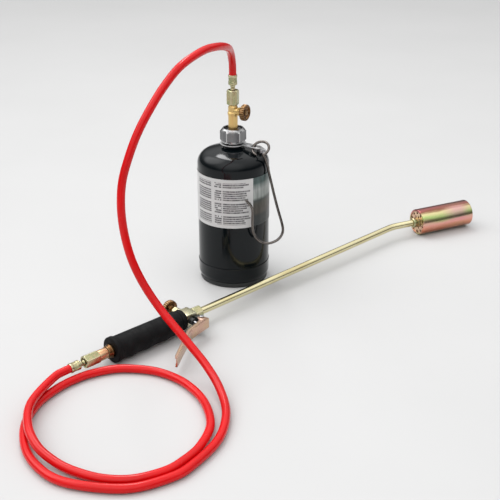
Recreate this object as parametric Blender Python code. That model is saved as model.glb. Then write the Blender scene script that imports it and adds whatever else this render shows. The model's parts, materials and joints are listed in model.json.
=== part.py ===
"""Propane torch: a bent lance with a burner bell, a grip with a trigger and a flow knob, and the hose
that joins it to the valve on a one-pound gas cylinder. The torch lies on its side beside the cylinder.

Lengths are in millimetres and angles in degrees; MM turns lengths into Blender's metres.
The origin is on the floor, under the middle of the hard parts. +X runs along the lance towards the
burner, +Z is up, the cylinder stands on the +Y side and the trigger points to -Y.
"""

from math import acos, asin, cos, pi, radians, sin, tan

import bmesh
import bpy
from mathutils import Matrix, Vector

MM = 0.001
GAP = 0.3

# Places on the floor plan
CYLINDER_AT = (-35.4, 53.2)
WAND_AT = (-198.9, -25.8)

# Cylinder, heights above the floor
CYLINDER_R = 49.2
CUP_R = 49.5
CUP_TOP = 28.7
FOOT_R = 47.0
FOOT_TOP = 6.2
WALL = 1.5
SHOULDER_Z = 169.0
CORNER_R = 18.0
CORNER_END = 72.0
CROWN = ((188.2, 31.0), (190.2, 24.0), (191.2, 17.0), (191.5, 14.2))
NECK_BOSS_R = 12.6
NECK_BOSS_TOP = 207.0
RELIEF_AZIMUTH = -58.0
RELIEF_OUT = 38.0
RELIEF_R = 6.0
LABEL_BOTTOM = 90.8
LABEL_TOP = 160.4
LABEL_R = 49.5
LABEL_THICK = 0.3

# Fittings on top of the cylinder
BIG_NUT_FLATS = 31.0
BIG_NUT_BOTTOM = 197.3
BIG_NUT_TOP = 218.0
BIG_NUT_TURN = -13.0
VALVE_STEM_R = 6.4
VALVE_PORT_Z = 241.0
VALVE_PORT_AZIMUTH = -72.0
VALVE_TOP = 262.5
THREAD_R = 5.6
KNOB_R = 11.0
KNOB_THICK = 9.0
VALVE_KNOB_OUT = 12.5

# Hanging ear and hook
EAR_AZIMUTH = -70.0
EAR_RING_Z = 195.6
EAR_THICK = 1.3
EAR_WIDTH = 12.0
EAR_DROP = 0.055
EAR_ROOT = 17.0
EAR_HOLE_OUT = 30.6
EAR_HOLE_R = 4.0
EAR_END_OUT = 36.5
HOOK_WIRE_R = 1.65
HOOK_LEAN = 52.0
HOOK_EYE_R = 11.2
HOOK_EYE_AT_HOLE = 4.0

# Hose and its end fittings
HOSE_R = 5.0
FERRULE_R = 6.1
STEM_NECK_R = 3.4
HOSE_NUT_FLATS = 15.0
HOSE_START = 29.8
HOSE_STRAIGHT = 13.0
HOSE_POINT_STEP = 24.0

# Wand, measured along its axis from the front of the grip
GRIP_LENGTH = 113.0
GRIP_R = 14.6
GRIP_END_R = 16.5
GRIP_SWELL = 2.6
GRIP_LOBE = 27.0
PIPE_R = 6.0
TUBE_R = 5.0
TUBE_BORE_R = 4.0
TUBE_START = 24.4
BEND_AT = 423.0
BEND_ANGLE = 18.4
BEND_R = 60.0
BURNER_AFTER_BEND = 47.0
BURNER_R = 20.0
BURNER_LENGTH = 91.7
BURNER_WALL = 1.5
BURNER_OUTER_HOLES = 10
BURNER_INNER_HOLES = 8

# Valve block, flow knob and trigger
BLOCK_X = (-2.0, 15.0)
BLOCK_HALF_Y = 10.0
BLOCK_HALF_Z = 9.0
FLOW_X = 6.5
FLOW_KNOB_Y = 29.0
PIVOT_X = 13.2
PIVOT_Y = -21.0
PLUNGER_X = 4.5
PLUNGER_TIP_Y = -30.7
LUG_HALF = 3.8
LEVER_HALF_WIDTH = 6.5
LEVER_THICK = 1.5
LEVER_REACH = 8.5
LEVER_FRONT_X = 16.8
LEVER_SLOPE = 12.7
LEVER_KNEE_X = -20.0
LEVER_TIP = (-76.0, -76.0)

LOOKS = {
    "steel_green": ((0.012, 0.028, 0.028), 0.25, 0.0),
    "foot_black": ((0.02, 0.02, 0.02), 0.5, 0.0),
    "label_paper": ((0.78, 0.77, 0.76), 0.6, 0.0),
    "bright_steel": ((0.55, 0.55, 0.56), 0.3, 1.0),
    "dark_wire": ((0.16, 0.15, 0.15), 0.3, 1.0),
    "brass": ((0.72, 0.5, 0.2), 0.3, 1.0),
    "yellow_zinc": ((0.74, 0.68, 0.45), 0.35, 1.0),
    "rainbow_zinc": ((0.7, 0.45, 0.38), 0.3, 1.0),
    "pink_zinc": ((0.76, 0.55, 0.45), 0.35, 1.0),
    "grip_black": ((0.02, 0.02, 0.02), 0.7, 0.0),
    "seal_rubber": ((0.03, 0.03, 0.03), 0.8, 0.0),
    "hose_red": ((0.65, 0.02, 0.02), 0.3, 0.0),
}


# ---------------------------------------------------------------- scene and looks

def clear_scene():
    for old in list(bpy.data.objects):
        bpy.data.objects.remove(old, do_unlink=True)


def look(name):
    """The Principled material of that name."""
    made = bpy.data.materials.get(name)
    if made:
        return made
    colour, roughness, metallic = LOOKS[name]
    made = bpy.data.materials.new(name)
    made.use_nodes = True
    shader = made.node_tree.nodes["Principled BSDF"]
    shader.inputs["Base Color"].default_value = (*colour, 1.0)
    shader.inputs["Roughness"].default_value = roughness
    shader.inputs["Metallic"].default_value = metallic
    return made


def own_look(obj, name):
    """Gives the object its own copy of the material."""
    mine = look(name).copy()
    mine.name = obj.name + "_" + name
    obj.data.materials.append(mine)


# ---------------------------------------------------------------- placing

def metres(point):
    return Vector(point) * MM


def frame_empty(name, at, rotation=None, parent=None):
    """An empty that holds a group's place."""
    empty = bpy.data.objects.new(name, None)
    bpy.context.collection.objects.link(empty)
    empty.parent = parent
    empty.location = metres(at)
    if rotation:
        empty.rotation_euler = rotation.to_euler()
    return empty


def along(direction):
    """A rotation that turns +Z to the direction."""
    return Vector(direction).to_track_quat("Z", "Y").to_matrix()


def piece(name, bm, material, at=(0, 0, 0), rotation=None, parent=None, sharp=35.0):
    """Makes the named object from a mesh in millimetres."""
    bmesh.ops.scale(bm, vec=(MM, MM, MM), verts=bm.verts)
    mesh = bpy.data.meshes.new(name)
    bm.to_mesh(mesh)
    bm.free()
    mesh.shade_smooth()
    mesh.set_sharp_from_angle(angle=radians(sharp))
    obj = bpy.data.objects.new(name, mesh)
    bpy.context.collection.objects.link(obj)
    obj.parent = parent
    obj.location = metres(at)
    if rotation:
        obj.rotation_euler = rotation.to_euler()
    if material:
        own_look(obj, material)
    return obj


def helper(name, bm, at=(0, 0, 0), rotation=None, parent=None):
    """A shape that only cuts or joins another."""
    obj = piece(name, bm, None, at, rotation, parent)
    obj.hide_render = True
    obj.display_type = "WIRE"
    return obj


def combine(obj, other, operation):
    step = obj.modifiers.new(operation.lower(), "BOOLEAN")
    step.operation = operation
    step.solver = "EXACT"
    step.object = other


# ---------------------------------------------------------------- shapes

def skin(rings, closed=False):
    """A closed body through rings of points. A ring of one point is a pole."""
    bm = bmesh.new()
    rows = [[bm.verts.new(p) for p in ring] for ring in rings]
    pairs = list(zip(rows, rows[1:]))
    if closed:
        pairs.append((rows[-1], rows[0]))
    for first, second in pairs:
        count = max(len(first), len(second))
        for i in range(count):
            j = (i + 1) % count
            if len(first) == 1:
                bm.faces.new((first[0], second[j], second[i]))
            elif len(second) == 1:
                bm.faces.new((first[i], first[j], second[0]))
            else:
                bm.faces.new((first[i], first[j], second[j], second[i]))
    if not closed:
        for row in (rows[0], rows[-1]):
            if len(row) > 1:
                bm.faces.new(row)
    bmesh.ops.recalc_face_normals(bm, faces=bm.faces)
    return bm


def turned(profile, sides=24, shape=None):
    """Turns (height, radius) points about Z. Without a point on the axis it is a ring with a bore."""
    rings = []
    for z, r in profile:
        if r == 0:
            rings.append([Vector((0, 0, z))])
            continue
        ring = []
        for i in range(sides):
            angle = 2 * pi * i / sides
            reach = shape(angle, r) if shape else r
            ring.append(Vector((reach * cos(angle), reach * sin(angle), z)))
        rings.append(ring)
    has_bore = all(r > 0 for _, r in profile)
    return skin(rings, closed=has_bore)


def hexagon(flats):
    """A shape for turned() that limits radii to a hexagon with its flats that far apart."""
    def limit(angle, r):
        from_flat = (angle + pi / 6) % (pi / 3) - pi / 6
        return min(r, flats / 2 / cos(from_flat))
    return limit


def knurl(edge_r, depth, flutes):
    """A shape for turned() that cuts flutes into the rim."""
    def limit(angle, r):
        if r < edge_r:
            return r
        return r - depth * (round(angle * flutes * 2 / (2 * pi)) % 2)
    return limit


def rod(z_low, z_high, r, sides=24):
    return turned([(z_low, 0), (z_low, r), (z_high, r), (z_high, 0)], sides)


def ring(z_low, z_high, bore_r, r, sides=24):
    return turned([(z_low, bore_r), (z_low, r), (z_high, r), (z_high, bore_r)], sides)


def together(bodies):
    """One mesh of several separate bodies, each moved by its own offset."""
    whole = bmesh.new()
    for bm, offset in bodies:
        bmesh.ops.translate(bm, vec=offset, verts=bm.verts)
        mesh = bpy.data.meshes.new("body")
        bm.to_mesh(mesh)
        bm.free()
        whole.from_mesh(mesh)
        bpy.data.meshes.remove(mesh)
    return whole


def plate(outline, low, high):
    """Extrudes an (x, y) outline between two heights."""
    return skin([[Vector((x, y, z)) for x, y in outline] for z in (low, high)])


def block(low, high):
    (x0, y0, z0), (x1, y1, z1) = low, high
    return plate([(x0, y0), (x1, y0), (x1, y1), (x0, y1)], z0, z1)


def arc(centre, r, start, end, steps):
    """Points on a circle in a plane, angles in degrees."""
    made = []
    for i in range(steps + 1):
        angle = radians(start + (end - start) * i / steps)
        made.append((centre[0] + r * cos(angle), centre[1] + r * sin(angle)))
    return made


def tangents(points):
    made = []
    last = len(points) - 1
    for i in range(len(points)):
        ahead = points[min(i + 1, last)] - points[max(i - 1, 0)]
        made.append(ahead.normalized())
    return made


def swept(points, r, sides=12, bore_r=0):
    """A round bar along the points, or a tube if it has a bore."""
    points = [Vector(p) for p in points]
    ways = tangents(points)
    side = ways[0].orthogonal().normalized()
    outer = []
    inner = []
    for point, way in zip(points, ways):
        side = (side - way * side.dot(way)).normalized()
        up = way.cross(side)
        spokes = [side * cos(2 * pi * i / sides) + up * sin(2 * pi * i / sides) for i in range(sides)]
        outer.append([point + s * r for s in spokes])
        inner.append([point + s * bore_r for s in spokes])
    if bore_r:
        return skin(outer + inner[::-1], closed=True)
    return skin(outer)


def smooth_route(points, step):
    """Points about a step apart on a smooth curve through the route's own points."""
    points = [Vector(p) for p in points]
    ends = [points[0] * 2 - points[1]] + points + [points[-1] * 2 - points[-2]]
    fine = []
    for a, b, c, d in zip(ends, ends[1:], ends[2:], ends[3:]):
        for i in range(16):
            t = i / 16
            fine.append(0.5 * (2 * b + (c - a) * t + (2 * a - 5 * b + 4 * c - d) * t * t
                               + (3 * b - a - 3 * c + d) * t ** 3))
    fine.append(points[-1])
    lengths = [0.0]
    for a, b in zip(fine, fine[1:]):
        lengths.append(lengths[-1] + (b - a).length)
    count = round(lengths[-1] / step)
    made = []
    at = 0
    for i in range(count + 1):
        wanted = lengths[-1] * i / count
        while at < len(fine) - 2 and lengths[at + 1] < wanted:
            at += 1
        part = (wanted - lengths[at]) / (lengths[at + 1] - lengths[at])
        made.append(fine[at].lerp(fine[at + 1], part))
    return made


# ---------------------------------------------------------------- cylinder

def shoulder(inset, steps):
    """(height, radius) points over the rounded corner and the low crown, moved in by an inset."""
    made = []
    for i in range(steps + 1):
        angle = radians(CORNER_END * i / steps)
        made.append((SHOULDER_Z + (CORNER_R - inset) * sin(angle),
                     CYLINDER_R - CORNER_R + (CORNER_R - inset) * cos(angle)))
    return made + [(z - inset, r) for z, r in CROWN]


def cylinder_shell(parent):
    outside = [(CUP_TOP + GAP, CYLINDER_R)] + shoulder(0.0, 6)
    inside = shoulder(WALL, 4)
    inside.append((CUP_TOP + GAP, CYLINDER_R - WALL))
    inside.sort(reverse=True)
    neck_top = CROWN[-1][0] + 0.9
    hole = NECK_BOSS_R + GAP
    neck = [(neck_top, hole), (inside[0][0], hole)]
    piece("cylinder_shell", turned(outside + neck + inside, 36), "steel_green", parent=parent)


def cylinder_bottom(parent):
    bottom = FOOT_TOP + GAP
    outside = [(CUP_TOP, CUP_R + 0.3), (CUP_TOP - 2, CUP_R + 0.3), (CUP_TOP - 3, CUP_R), (13, CUP_R),
               (9, CUP_R - 0.8), (bottom, CUP_R - 2.6)]
    under = [(bottom, FOOT_R - 4), (bottom + 4, 26), (bottom + 6, 0)]
    over = [(bottom + 6 + WALL, 0), (bottom + 4 + WALL, 26), (bottom + WALL, FOOT_R - 4), (13, CUP_R - WALL)]
    profile = under[::-1] + outside[::-1] + [(CUP_TOP, CUP_R - WALL)] + over[::-1]
    piece("cylinder_base_cup", turned(profile, 36), "steel_green", parent=parent)
    piece("foot_ring", ring(0, FOOT_TOP, FOOT_R - 2.5, FOOT_R, 36), "foot_black", parent=parent)


def cylinder_neck(parent):
    boss = [(178, 0), (178, NECK_BOSS_R), (NECK_BOSS_TOP - 1, NECK_BOSS_R), (NECK_BOSS_TOP, NECK_BOSS_R - 1),
            (NECK_BOSS_TOP, 4.3), (185, 4.3), (185, 0)]
    piece("neck_boss", turned(boss, 24), "steel_green", parent=parent)
    core = [(185.3, 0), (185.3, 4.0), (203, 4.0), (203, 1.4), (205.5, 1.4), (205.5, 0)]
    piece("cylinder_valve_core", turned(core, 16), "brass", parent=parent)
    piece("label_sleeve", ring(LABEL_BOTTOM, LABEL_TOP, LABEL_R, LABEL_R + LABEL_THICK, 36), "label_paper",
          parent=parent)


def relief_valve(parent):
    """A spring-loaded safety valve in the shoulder, square to the slope, beside the hook's eye."""
    way = Vector((cos(radians(RELIEF_AZIMUTH)), sin(radians(RELIEF_AZIMUTH)), 0))
    corner = acos((RELIEF_OUT - CYLINDER_R + CORNER_R) / CORNER_R)
    slope = way * cos(corner) + Vector((0, 0, sin(corner)))
    foot = way * RELIEF_OUT + Vector((0, 0, SHOULDER_Z + CORNER_R * sin(corner))) + slope * 0.45
    profile = [(0, 0), (0, 5.0), (0.8, 5.0), (1.2, RELIEF_R), (5.0, RELIEF_R), (5.5, RELIEF_R - 0.6),
               (5.5, 2.2), (4.4, 2.2), (4.4, 0)]
    piece("relief_valve", turned(profile, 20), "bright_steel", at=foot, rotation=along(slope), parent=parent)


# ---------------------------------------------------------------- valve on the cylinder

def knob_set(prefix, parent, at, rotation, knob_out, spindle_in, material):
    """A knurled knob, its spindle and its screw, all turning about the local Z axis."""
    face = KNOB_THICK - 2.5
    profile = [(0, 2.6), (0, 5.2), (1.5, 5.6), (2.0, KNOB_R - 0.9), (2.8, KNOB_R), (KNOB_THICK - 0.9, KNOB_R),
               (KNOB_THICK, KNOB_R - 1), (KNOB_THICK, KNOB_R - 2.6), (face, KNOB_R - 3.6), (face, 2.6)]
    axis = frame_empty(prefix + "_axis", at, rotation, parent)
    piece(prefix + "_knob", turned(profile, 24, knurl(KNOB_R - 0.5, 0.7, 12)), material,
          at=(0, 0, knob_out), parent=axis)
    spindle = [(spindle_in, 0), (spindle_in + 2.5, 1.9), (knob_out + face - 0.4, 2.3),
               (knob_out + face - 0.4, 1.5), (knob_out + 1, 1.5), (knob_out + 1, 0)]
    spindle.insert(2, (spindle_in + 2.5, 2.3))
    piece(prefix + "_spindle", turned(spindle, 16), material, parent=axis)
    head = knob_out + face
    screw = [(knob_out + 1.4, 0), (knob_out + 1.4, 1.2), (head + 0.3, 1.2), (head + 0.3, 4.0),
             (head + 1.6, 4.0), (head + 2.2, 3.2), (head + 2.2, 0)]
    piece(prefix + "_knob_screw", turned(screw, 16), "bright_steel", parent=axis)


def gland_nut(name, parent, at, rotation, low, high, bore_r, material):
    profile = [(low, bore_r), (low, 5.3), (low + 0.8, 8), (high - 1.6, 8), (high - 0.8, 5.2), (high, 4.4),
               (high, bore_r)]
    piece(name, turned(profile, 12, hexagon(11.0)), material, at=at, rotation=rotation, parent=parent)


def cylinder_valve(parent):
    nut = [(BIG_NUT_BOTTOM, NECK_BOSS_R + GAP), (BIG_NUT_BOTTOM, 14.0), (BIG_NUT_BOTTOM + 1.7, 15.5),
           (BIG_NUT_BOTTOM + 4.4, 17.9), (BIG_NUT_TOP - 4.4, 17.9), (BIG_NUT_TOP - 1.7, 15.5),
           (BIG_NUT_TOP, 14.0), (BIG_NUT_TOP, 12.6), (BIG_NUT_TOP - 3.2, 12.5),
           (BIG_NUT_TOP - 3.2, 8.0), (BIG_NUT_TOP - 5.2, 8.0), (BIG_NUT_TOP - 5.2, NECK_BOSS_R + GAP)]
    turn = Matrix.Rotation(radians(BIG_NUT_TURN), 3, "Z")
    piece("cylinder_nut", turned(nut, 24, hexagon(BIG_NUT_FLATS)), "bright_steel", rotation=turn,
          parent=parent)

    flange_top = BIG_NUT_TOP - 5.2 - GAP
    piece("adapter_seal", ring(NECK_BOSS_TOP + GAP, flange_top - 3.0, 6.0, 11.0, 24), "seal_rubber",
          parent=parent)
    flange_low = flange_top - 3.0 + GAP
    body = [(flange_low, 0), (flange_low, 12.2), (flange_top, 12.2), (flange_top, VALVE_STEM_R),
            (VALVE_PORT_Z - 5.4, VALVE_STEM_R), (VALVE_PORT_Z - 4.8, VALVE_STEM_R + 0.8),
            (VALVE_PORT_Z - 1.4, VALVE_STEM_R + 0.8), (VALVE_PORT_Z - 0.8, VALVE_STEM_R),
            (VALVE_PORT_Z + 6, VALVE_STEM_R), (VALVE_PORT_Z + 7.5, THREAD_R), (VALVE_TOP, THREAD_R),
            (VALVE_TOP, 0)]
    valve = piece("valve_body", turned(body, 20), "brass", parent=parent)
    way = Vector((cos(radians(VALVE_PORT_AZIMUTH)), sin(radians(VALVE_PORT_AZIMUTH)), 0))
    port = along(way)
    port_at = (0, 0, VALVE_PORT_Z)
    combine(valve, helper("valve_port_boss", rod(1, 9, 5.4, 24), port_at, port, parent), "UNION")
    combine(valve, helper("valve_port_bore", rod(-1, 12, 2.6, 16), port_at, port, parent), "DIFFERENCE")
    combine(valve, helper("valve_gas_bore", rod(190, VALVE_PORT_Z - 8, 2.4, 12), parent=parent), "DIFFERENCE")
    gland_nut("valve_gland_nut", parent, port_at, port, 9.3, 11.9, 2.6, "brass")
    knob_set("valve", parent, port_at, port, VALVE_KNOB_OUT, 0.0, "brass")


# ---------------------------------------------------------------- ear and hook

def ear_frame():
    """Outward, level sideways and upward directions of the ear, in the cylinder's frame."""
    out = Vector((cos(radians(EAR_AZIMUTH)), sin(radians(EAR_AZIMUTH)), 0))
    across = Vector((out.y, -out.x, 0))
    return out, across, Vector((0, 0, 1))


def ear_point(reach):
    out, _, up = ear_frame()
    middle = EAR_RING_Z + EAR_THICK / 2
    return out * reach + up * (middle - EAR_DROP * max(0.0, reach - EAR_ROOT))


def ear_section(reach, half):
    """The strip's four corners at a reach."""
    _, across, up = ear_frame()
    middle = ear_point(reach)
    corners = []
    for a, b in ((-1, -1), (1, -1), (1, 1), (-1, 1)):
        corners.append(middle + across * half * a + up * EAR_THICK / 2 * b)
    return corners


def hanging_ear(parent):
    """A ring under the nut with a round-ended tongue that has a hole."""
    sections = [ear_section(reach, half) for reach, half in ((14.6, 4.6), (18, 4.8), (21, 5.3), (24, 5.8))]
    round_r = EAR_WIDTH / 2
    for i in range(7):
        angle = radians(5 + 80 * i / 6)
        sections.append(ear_section(EAR_END_OUT + round_r * sin(angle), round_r * cos(angle)))
    ear = piece("ring_bracket", ring(EAR_RING_Z, EAR_RING_Z + EAR_THICK, 13.3, 17.6, 28), "bright_steel",
                parent=parent)
    combine(ear, helper("ear_strip", skin(sections), parent=parent), "UNION")
    combine(ear, helper("ear_hole", rod(-8, 8, EAR_HOLE_R, 20), ear_point(EAR_HOLE_OUT), parent=parent),
            "DIFFERENCE")


def carry_hook(parent):
    """A wire hook. Its eye passes through the ear's hole, and it leans on the cylinder's side.

    The eye slides through the hole as the hook swings, so the axis is the eye's own: local Z of the
    hook_axis empty."""
    out, across, up = ear_frame()
    reach = (out - up * EAR_DROP).normalized()
    lift = up * cos(radians(HOOK_LEAN)) - across * sin(radians(HOOK_LEAN))
    lift = (lift - reach * lift.dot(reach)).normalized()
    at_hole = radians(HOOK_EYE_AT_HOLE)
    middle = ear_point(EAR_HOLE_OUT) + (reach * cos(at_hole) - lift * sin(at_hole)) * HOOK_EYE_R
    eye = []
    for i in range(17):
        angle = radians(-80 + 312 * i / 16)
        eye.append(middle - reach * HOOK_EYE_R * cos(angle) + lift * HOOK_EYE_R * sin(angle))
    leg = [(13.2, -48.3, 182.8), (17.0, -49.4, 171.0), (20.3, -49.6, 158.0), (20.0, -63.4, 121.0),
           (21.0, -72.6, 96.6), (21.4, -75.4, 86.0), (19.6, -75.6, 79.0), (15.6, -74.0, 73.2),
           (9.4, -71.0, 69.3), (1.2, -66.4, 67.8), (-6.8, -61.4, 71.0), (-13.2, -57.4, 78.6),
           (-16.4, -55.3, 89.0), (-17.2, -55.2, 103.0), (-17.2, -55.4, 116.0), (-18.6, -54.4, 124.0),
           (-22.0, -51.6, 130.0), (-24.6, -49.6, 133.4)]
    turn = along(reach.cross(lift))
    path = [turn.transposed() @ (p - middle) for p in eye + [Vector(p) for p in leg]]
    axis = frame_empty("hook_axis", middle, turn, parent)
    piece("carry_hook", swept(path, HOOK_WIRE_R, 6), "dark_wire", parent=axis, sharp=60)


# ---------------------------------------------------------------- hose fittings

def hose_end(suffix, parent, rotation=None):
    """Nut, stem and crimped ferrule on the hose. Local Z runs from the fitting into the hose, from the
    nut's open end at 0; the hose starts at HOSE_START."""
    nut = [(0, THREAD_R + GAP), (0, 6.9), (0.9, 9), (19.2, 9), (20.0, 6.9), (20.0, STEM_NECK_R + GAP),
           (16.4, STEM_NECK_R + GAP), (16.4, THREAD_R + GAP)]
    piece("hose_nut_" + suffix, turned(nut, 12, hexagon(HOSE_NUT_FLATS)), "yellow_zinc", rotation=rotation,
          parent=parent)
    stem = [(12.9, THREAD_R - 0.2), (16.1, THREAD_R - 0.2), (16.1, STEM_NECK_R), (29.5, STEM_NECK_R),
            (29.5, 1.6), (12.9, 1.6)]
    piece("hose_stem_" + suffix, turned(stem, 20), "yellow_zinc", rotation=rotation, parent=parent)
    ferrule = [(26.8, STEM_NECK_R + GAP), (26.8, FERRULE_R - 0.8), (27.6, FERRULE_R), (31.4, FERRULE_R),
               (32.2, FERRULE_R - 0.4), (36.4, FERRULE_R - 0.4), (37.2, FERRULE_R), (40.2, FERRULE_R),
               (40.2, HOSE_R + GAP), (29.6, HOSE_R + GAP), (28.6, STEM_NECK_R + GAP)]
    piece("ferrule_" + suffix, turned(ferrule, 16), "yellow_zinc", rotation=rotation, parent=parent)


def hose(top, torch):
    """The hose from the cylinder's ferrule to the torch's, given as two points and their directions."""
    (top_at, top_way), (torch_at, torch_way) = top, torch
    route = [top_at + top_way * HOSE_STRAIGHT]
    route += [(-39, 50, 308), (-53, 39, 327), (-75, 23, 338), (-104, 9, 345), (-135, 0, 346),
              (-175, -7, 336), (-203, -10, 318), (-226, -12, 297), (-245, -11, 272),
              (-259, -10, 246), (-270, -9, 217), (-276, -12, 187), (-277, -17, 156),
              (-276, -27, 126), (-272, -41, 99), (-266, -59, 74), (-261, -81, 54),
              (-258, -108, 36), (-261, -141, 22), (-272, -175, 11.5), (-296, -211, 6.5),
              (-335, -240, 5.2), (-385, -254, 5.2), (-411, -254, 5.2), (-446, -242, 5.2),
              (-470, -220, 5.2), (-492, -185, 5.2), (-497, -153, 5.2), (-489, -114, 5.2),
              (-465, -74, 5.2), (-432, -48, 5.2), (-401, -37, 5.2), (-374, -34, 5.2),
              (-350, -37, 5.2), (-321, -50, 5.2), (-297, -78, 5.2), (-287, -106, 5.2),
              (-286, -137, 5.2), (-296, -175, 5.2), (-321, -213, 5.2), (-356, -235, 5.2),
              (-386, -242, 5.2), (-409, -242, 5.2), (-440, -230, 5.2), (-462, -208, 5.6),
              (-476, -178, 6.6), (-482, -154, 9), (-483, -126, 13.5), (-471, -91, 16.4),
              (-444, -56, 16.4)]
    route += [torch_at + torch_way * 34 + Vector((0, -3, 0)), torch_at + torch_way * HOSE_STRAIGHT]
    curve = bpy.data.curves.new("hose", "CURVE")
    curve.dimensions = "3D"
    curve.bevel_depth = HOSE_R * MM
    curve.bevel_resolution = 2
    curve.use_fill_caps = True
    points = [top_at] + smooth_route(route, HOSE_POINT_STEP) + [torch_at]
    spline = curve.splines.new("POLY")
    spline.points.add(len(points) - 1)
    for target, point in zip(spline.points, points):
        target.co = (*(point * MM), 1.0)
    obj = bpy.data.objects.new("hose", curve)
    bpy.context.collection.objects.link(obj)
    own_look(obj, "hose_red")


# ---------------------------------------------------------------- wand

def grip_ring(x, r, swell, sides=24):
    """A round section whose trigger side is fuller."""
    made = []
    for i in range(sides):
        angle = 2 * pi * i / sides
        full = r + swell * max(0.0, -cos(angle)) ** 2
        made.append(Vector((x, full * cos(angle), full * sin(angle))))
    return made


def grip(parent):
    front = BLOCK_X[0] - GAP
    rear = front - GRIP_LENGTH + 2
    sections = [(rear, GRIP_END_R - 0.8, 0), (rear + 1, GRIP_END_R, 0), (rear + 6, GRIP_END_R, 0),
                (rear + 10, GRIP_R + 0.6, 0)]
    for i in range(12):
        x = rear + 14 + i * 7.1
        lobe = GRIP_SWELL * (0.62 + 0.38 * cos(2 * pi * (x - rear - 20) / GRIP_LOBE))
        fade = min(1.0, i / 2, (11 - i) / 2)
        sections.append((x, GRIP_R - 0.02 * i, lobe * fade))
    sections += [(front - 9, 12.6, 0), (front - 7, 12.2, 0), (front - 6.2, 13.6, 0), (front - 1, 13.6, 0),
                 (front, 12.8, 0)]
    bore = PIPE_R + GAP
    rings = [grip_ring(x, r, swell) for x, r, swell in sections]
    rings += [grip_ring(front, bore, 0), grip_ring(rear, bore, 0)]
    piece("grip", skin(rings, closed=True), "grip_black", parent=parent, sharp=30)
    return rear


def inlet(parent, rear):
    """Pipe through the grip, its collar, and the threaded nipple that the hose nut screws on."""
    to_rear = along((-1, 0, 0))
    block_start = BLOCK_X[0]
    pipe = [(-block_start + GAP, PIPE_R), (-rear + 8, PIPE_R), (-rear + 8, 2.5), (-block_start + 12, 2.5),
            (-block_start + 12, 4.3), (-block_start + GAP, 4.3)]
    piece("gas_pipe", turned(pipe, 18), "yellow_zinc", rotation=to_rear, parent=parent)
    collar = [(-rear + GAP, PIPE_R + GAP), (-rear + GAP, 8.8), (-rear + 3.4, 8.8), (-rear + 4.6, 8.0),
              (-rear + 7.6, 8.0), (-rear + 7.6, PIPE_R + GAP)]
    piece("rear_collar", turned(collar, 20), "brass", rotation=to_rear, parent=parent)
    start = -rear + 8 + GAP
    end = start + 24.5
    nipple = [(start, 2.5), (start, 6.9), (end - 12.9, 6.9), (end - 12.9, THREAD_R), (end - 0.8, THREAD_R),
              (end, THREAD_R - 0.8), (end, 2.5)]
    piece("inlet_nipple", turned(nipple, 16), "yellow_zinc", rotation=to_rear, parent=parent)
    return end


def valve_block(parent):
    body = block((BLOCK_X[0], -BLOCK_HALF_Y, -BLOCK_HALF_Z), (BLOCK_X[1], BLOCK_HALF_Y, BLOCK_HALF_Z))
    bmesh.ops.bevel(body, geom=list(body.edges), offset=1.6, segments=2, affect="EDGES", profile=0.5)
    valve = piece("torch_valve_body", body, "yellow_zinc", parent=parent)
    to_front = along((1, 0, 0))
    to_knob = along((0, 1, 0))
    to_trigger = along((0, -1, 0))
    front = BLOCK_X[1]
    rear = -BLOCK_X[0]
    combine(valve, helper("lance_spigot", rod(front - 3, front + 9, THREAD_R + 0.2), (0, 0, 0), to_front,
                          parent), "UNION")
    combine(valve, helper("pipe_spigot", rod(rear - 3, rear + 11.7, 4.0), (0, 0, 0), along((-1, 0, 0)),
                          parent), "UNION")
    combine(valve, helper("flow_boss", rod(BLOCK_HALF_Y - 3, 17, 6.0), (FLOW_X, 0, 0), to_knob, parent), "UNION")
    combine(valve, helper("flow_bore", rod(5, 20, 2.6, 16), (FLOW_X, 0, 0), to_knob, parent), "DIFFERENCE")
    combine(valve, helper("plunger_bore", rod(-4, 15, 4.3, 20), (PLUNGER_X, 0, 0), to_trigger, parent),
            "DIFFERENCE")
    combine(valve, helper("lance_bore", rod(front - 4, front + 12, 3.2, 16), (0, 0, 0), to_front, parent),
            "DIFFERENCE")
    gland_nut("flow_gland_nut", parent, (FLOW_X, 0, 0), to_knob, 17.3, 24.0, 2.6, "yellow_zinc")
    knob_set("flow", parent, (FLOW_X, 0, 0), to_knob, FLOW_KNOB_Y, 5.4, "brass")


def plunger_set(parent):
    """Push-rod valve that the trigger works: local Z runs from the block towards the lever."""
    out = along((0, -1, 0))
    at = (PLUNGER_X, 0, 0)
    tip = -PLUNGER_TIP_Y
    rod_profile = [(6.6, 0), (6.6, 3.9), (8.6, 3.9), (8.6, 2.0), (tip - 0.8, 2.0), (tip, 1.4), (tip, 0)]
    piece("trigger_plunger", turned(rod_profile, 16), "bright_steel", at=at, rotation=out, parent=parent)
    piece("plunger_seal", ring(8.9, 9.9, 2.3, 4.0, 16), "seal_rubber", at=at, rotation=out, parent=parent)
    gland = [(BLOCK_HALF_Y + GAP, 2.3), (BLOCK_HALF_Y + GAP, 4.0), (BLOCK_HALF_Y + 0.8, 4.5), (15.4, 4.5),
             (16.4, 3.6), (16.4, 2.3)]
    piece("plunger_gland_nut", turned(gland, 16), "foot_black", at=at, rotation=out, parent=parent)
    coil = []
    turns = 5
    low = -3.2
    high = 5.8
    for i in range(turns * 8 + 1):
        angle = 2 * pi * i / 8
        coil.append(Vector((3.1 * cos(angle), 3.1 * sin(angle), low + (high - low) * i / (turns * 8))))
    piece("plunger_spring", swept(coil, 0.4, 4), "bright_steel", at=at, rotation=out, parent=parent, sharp=80)


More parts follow.
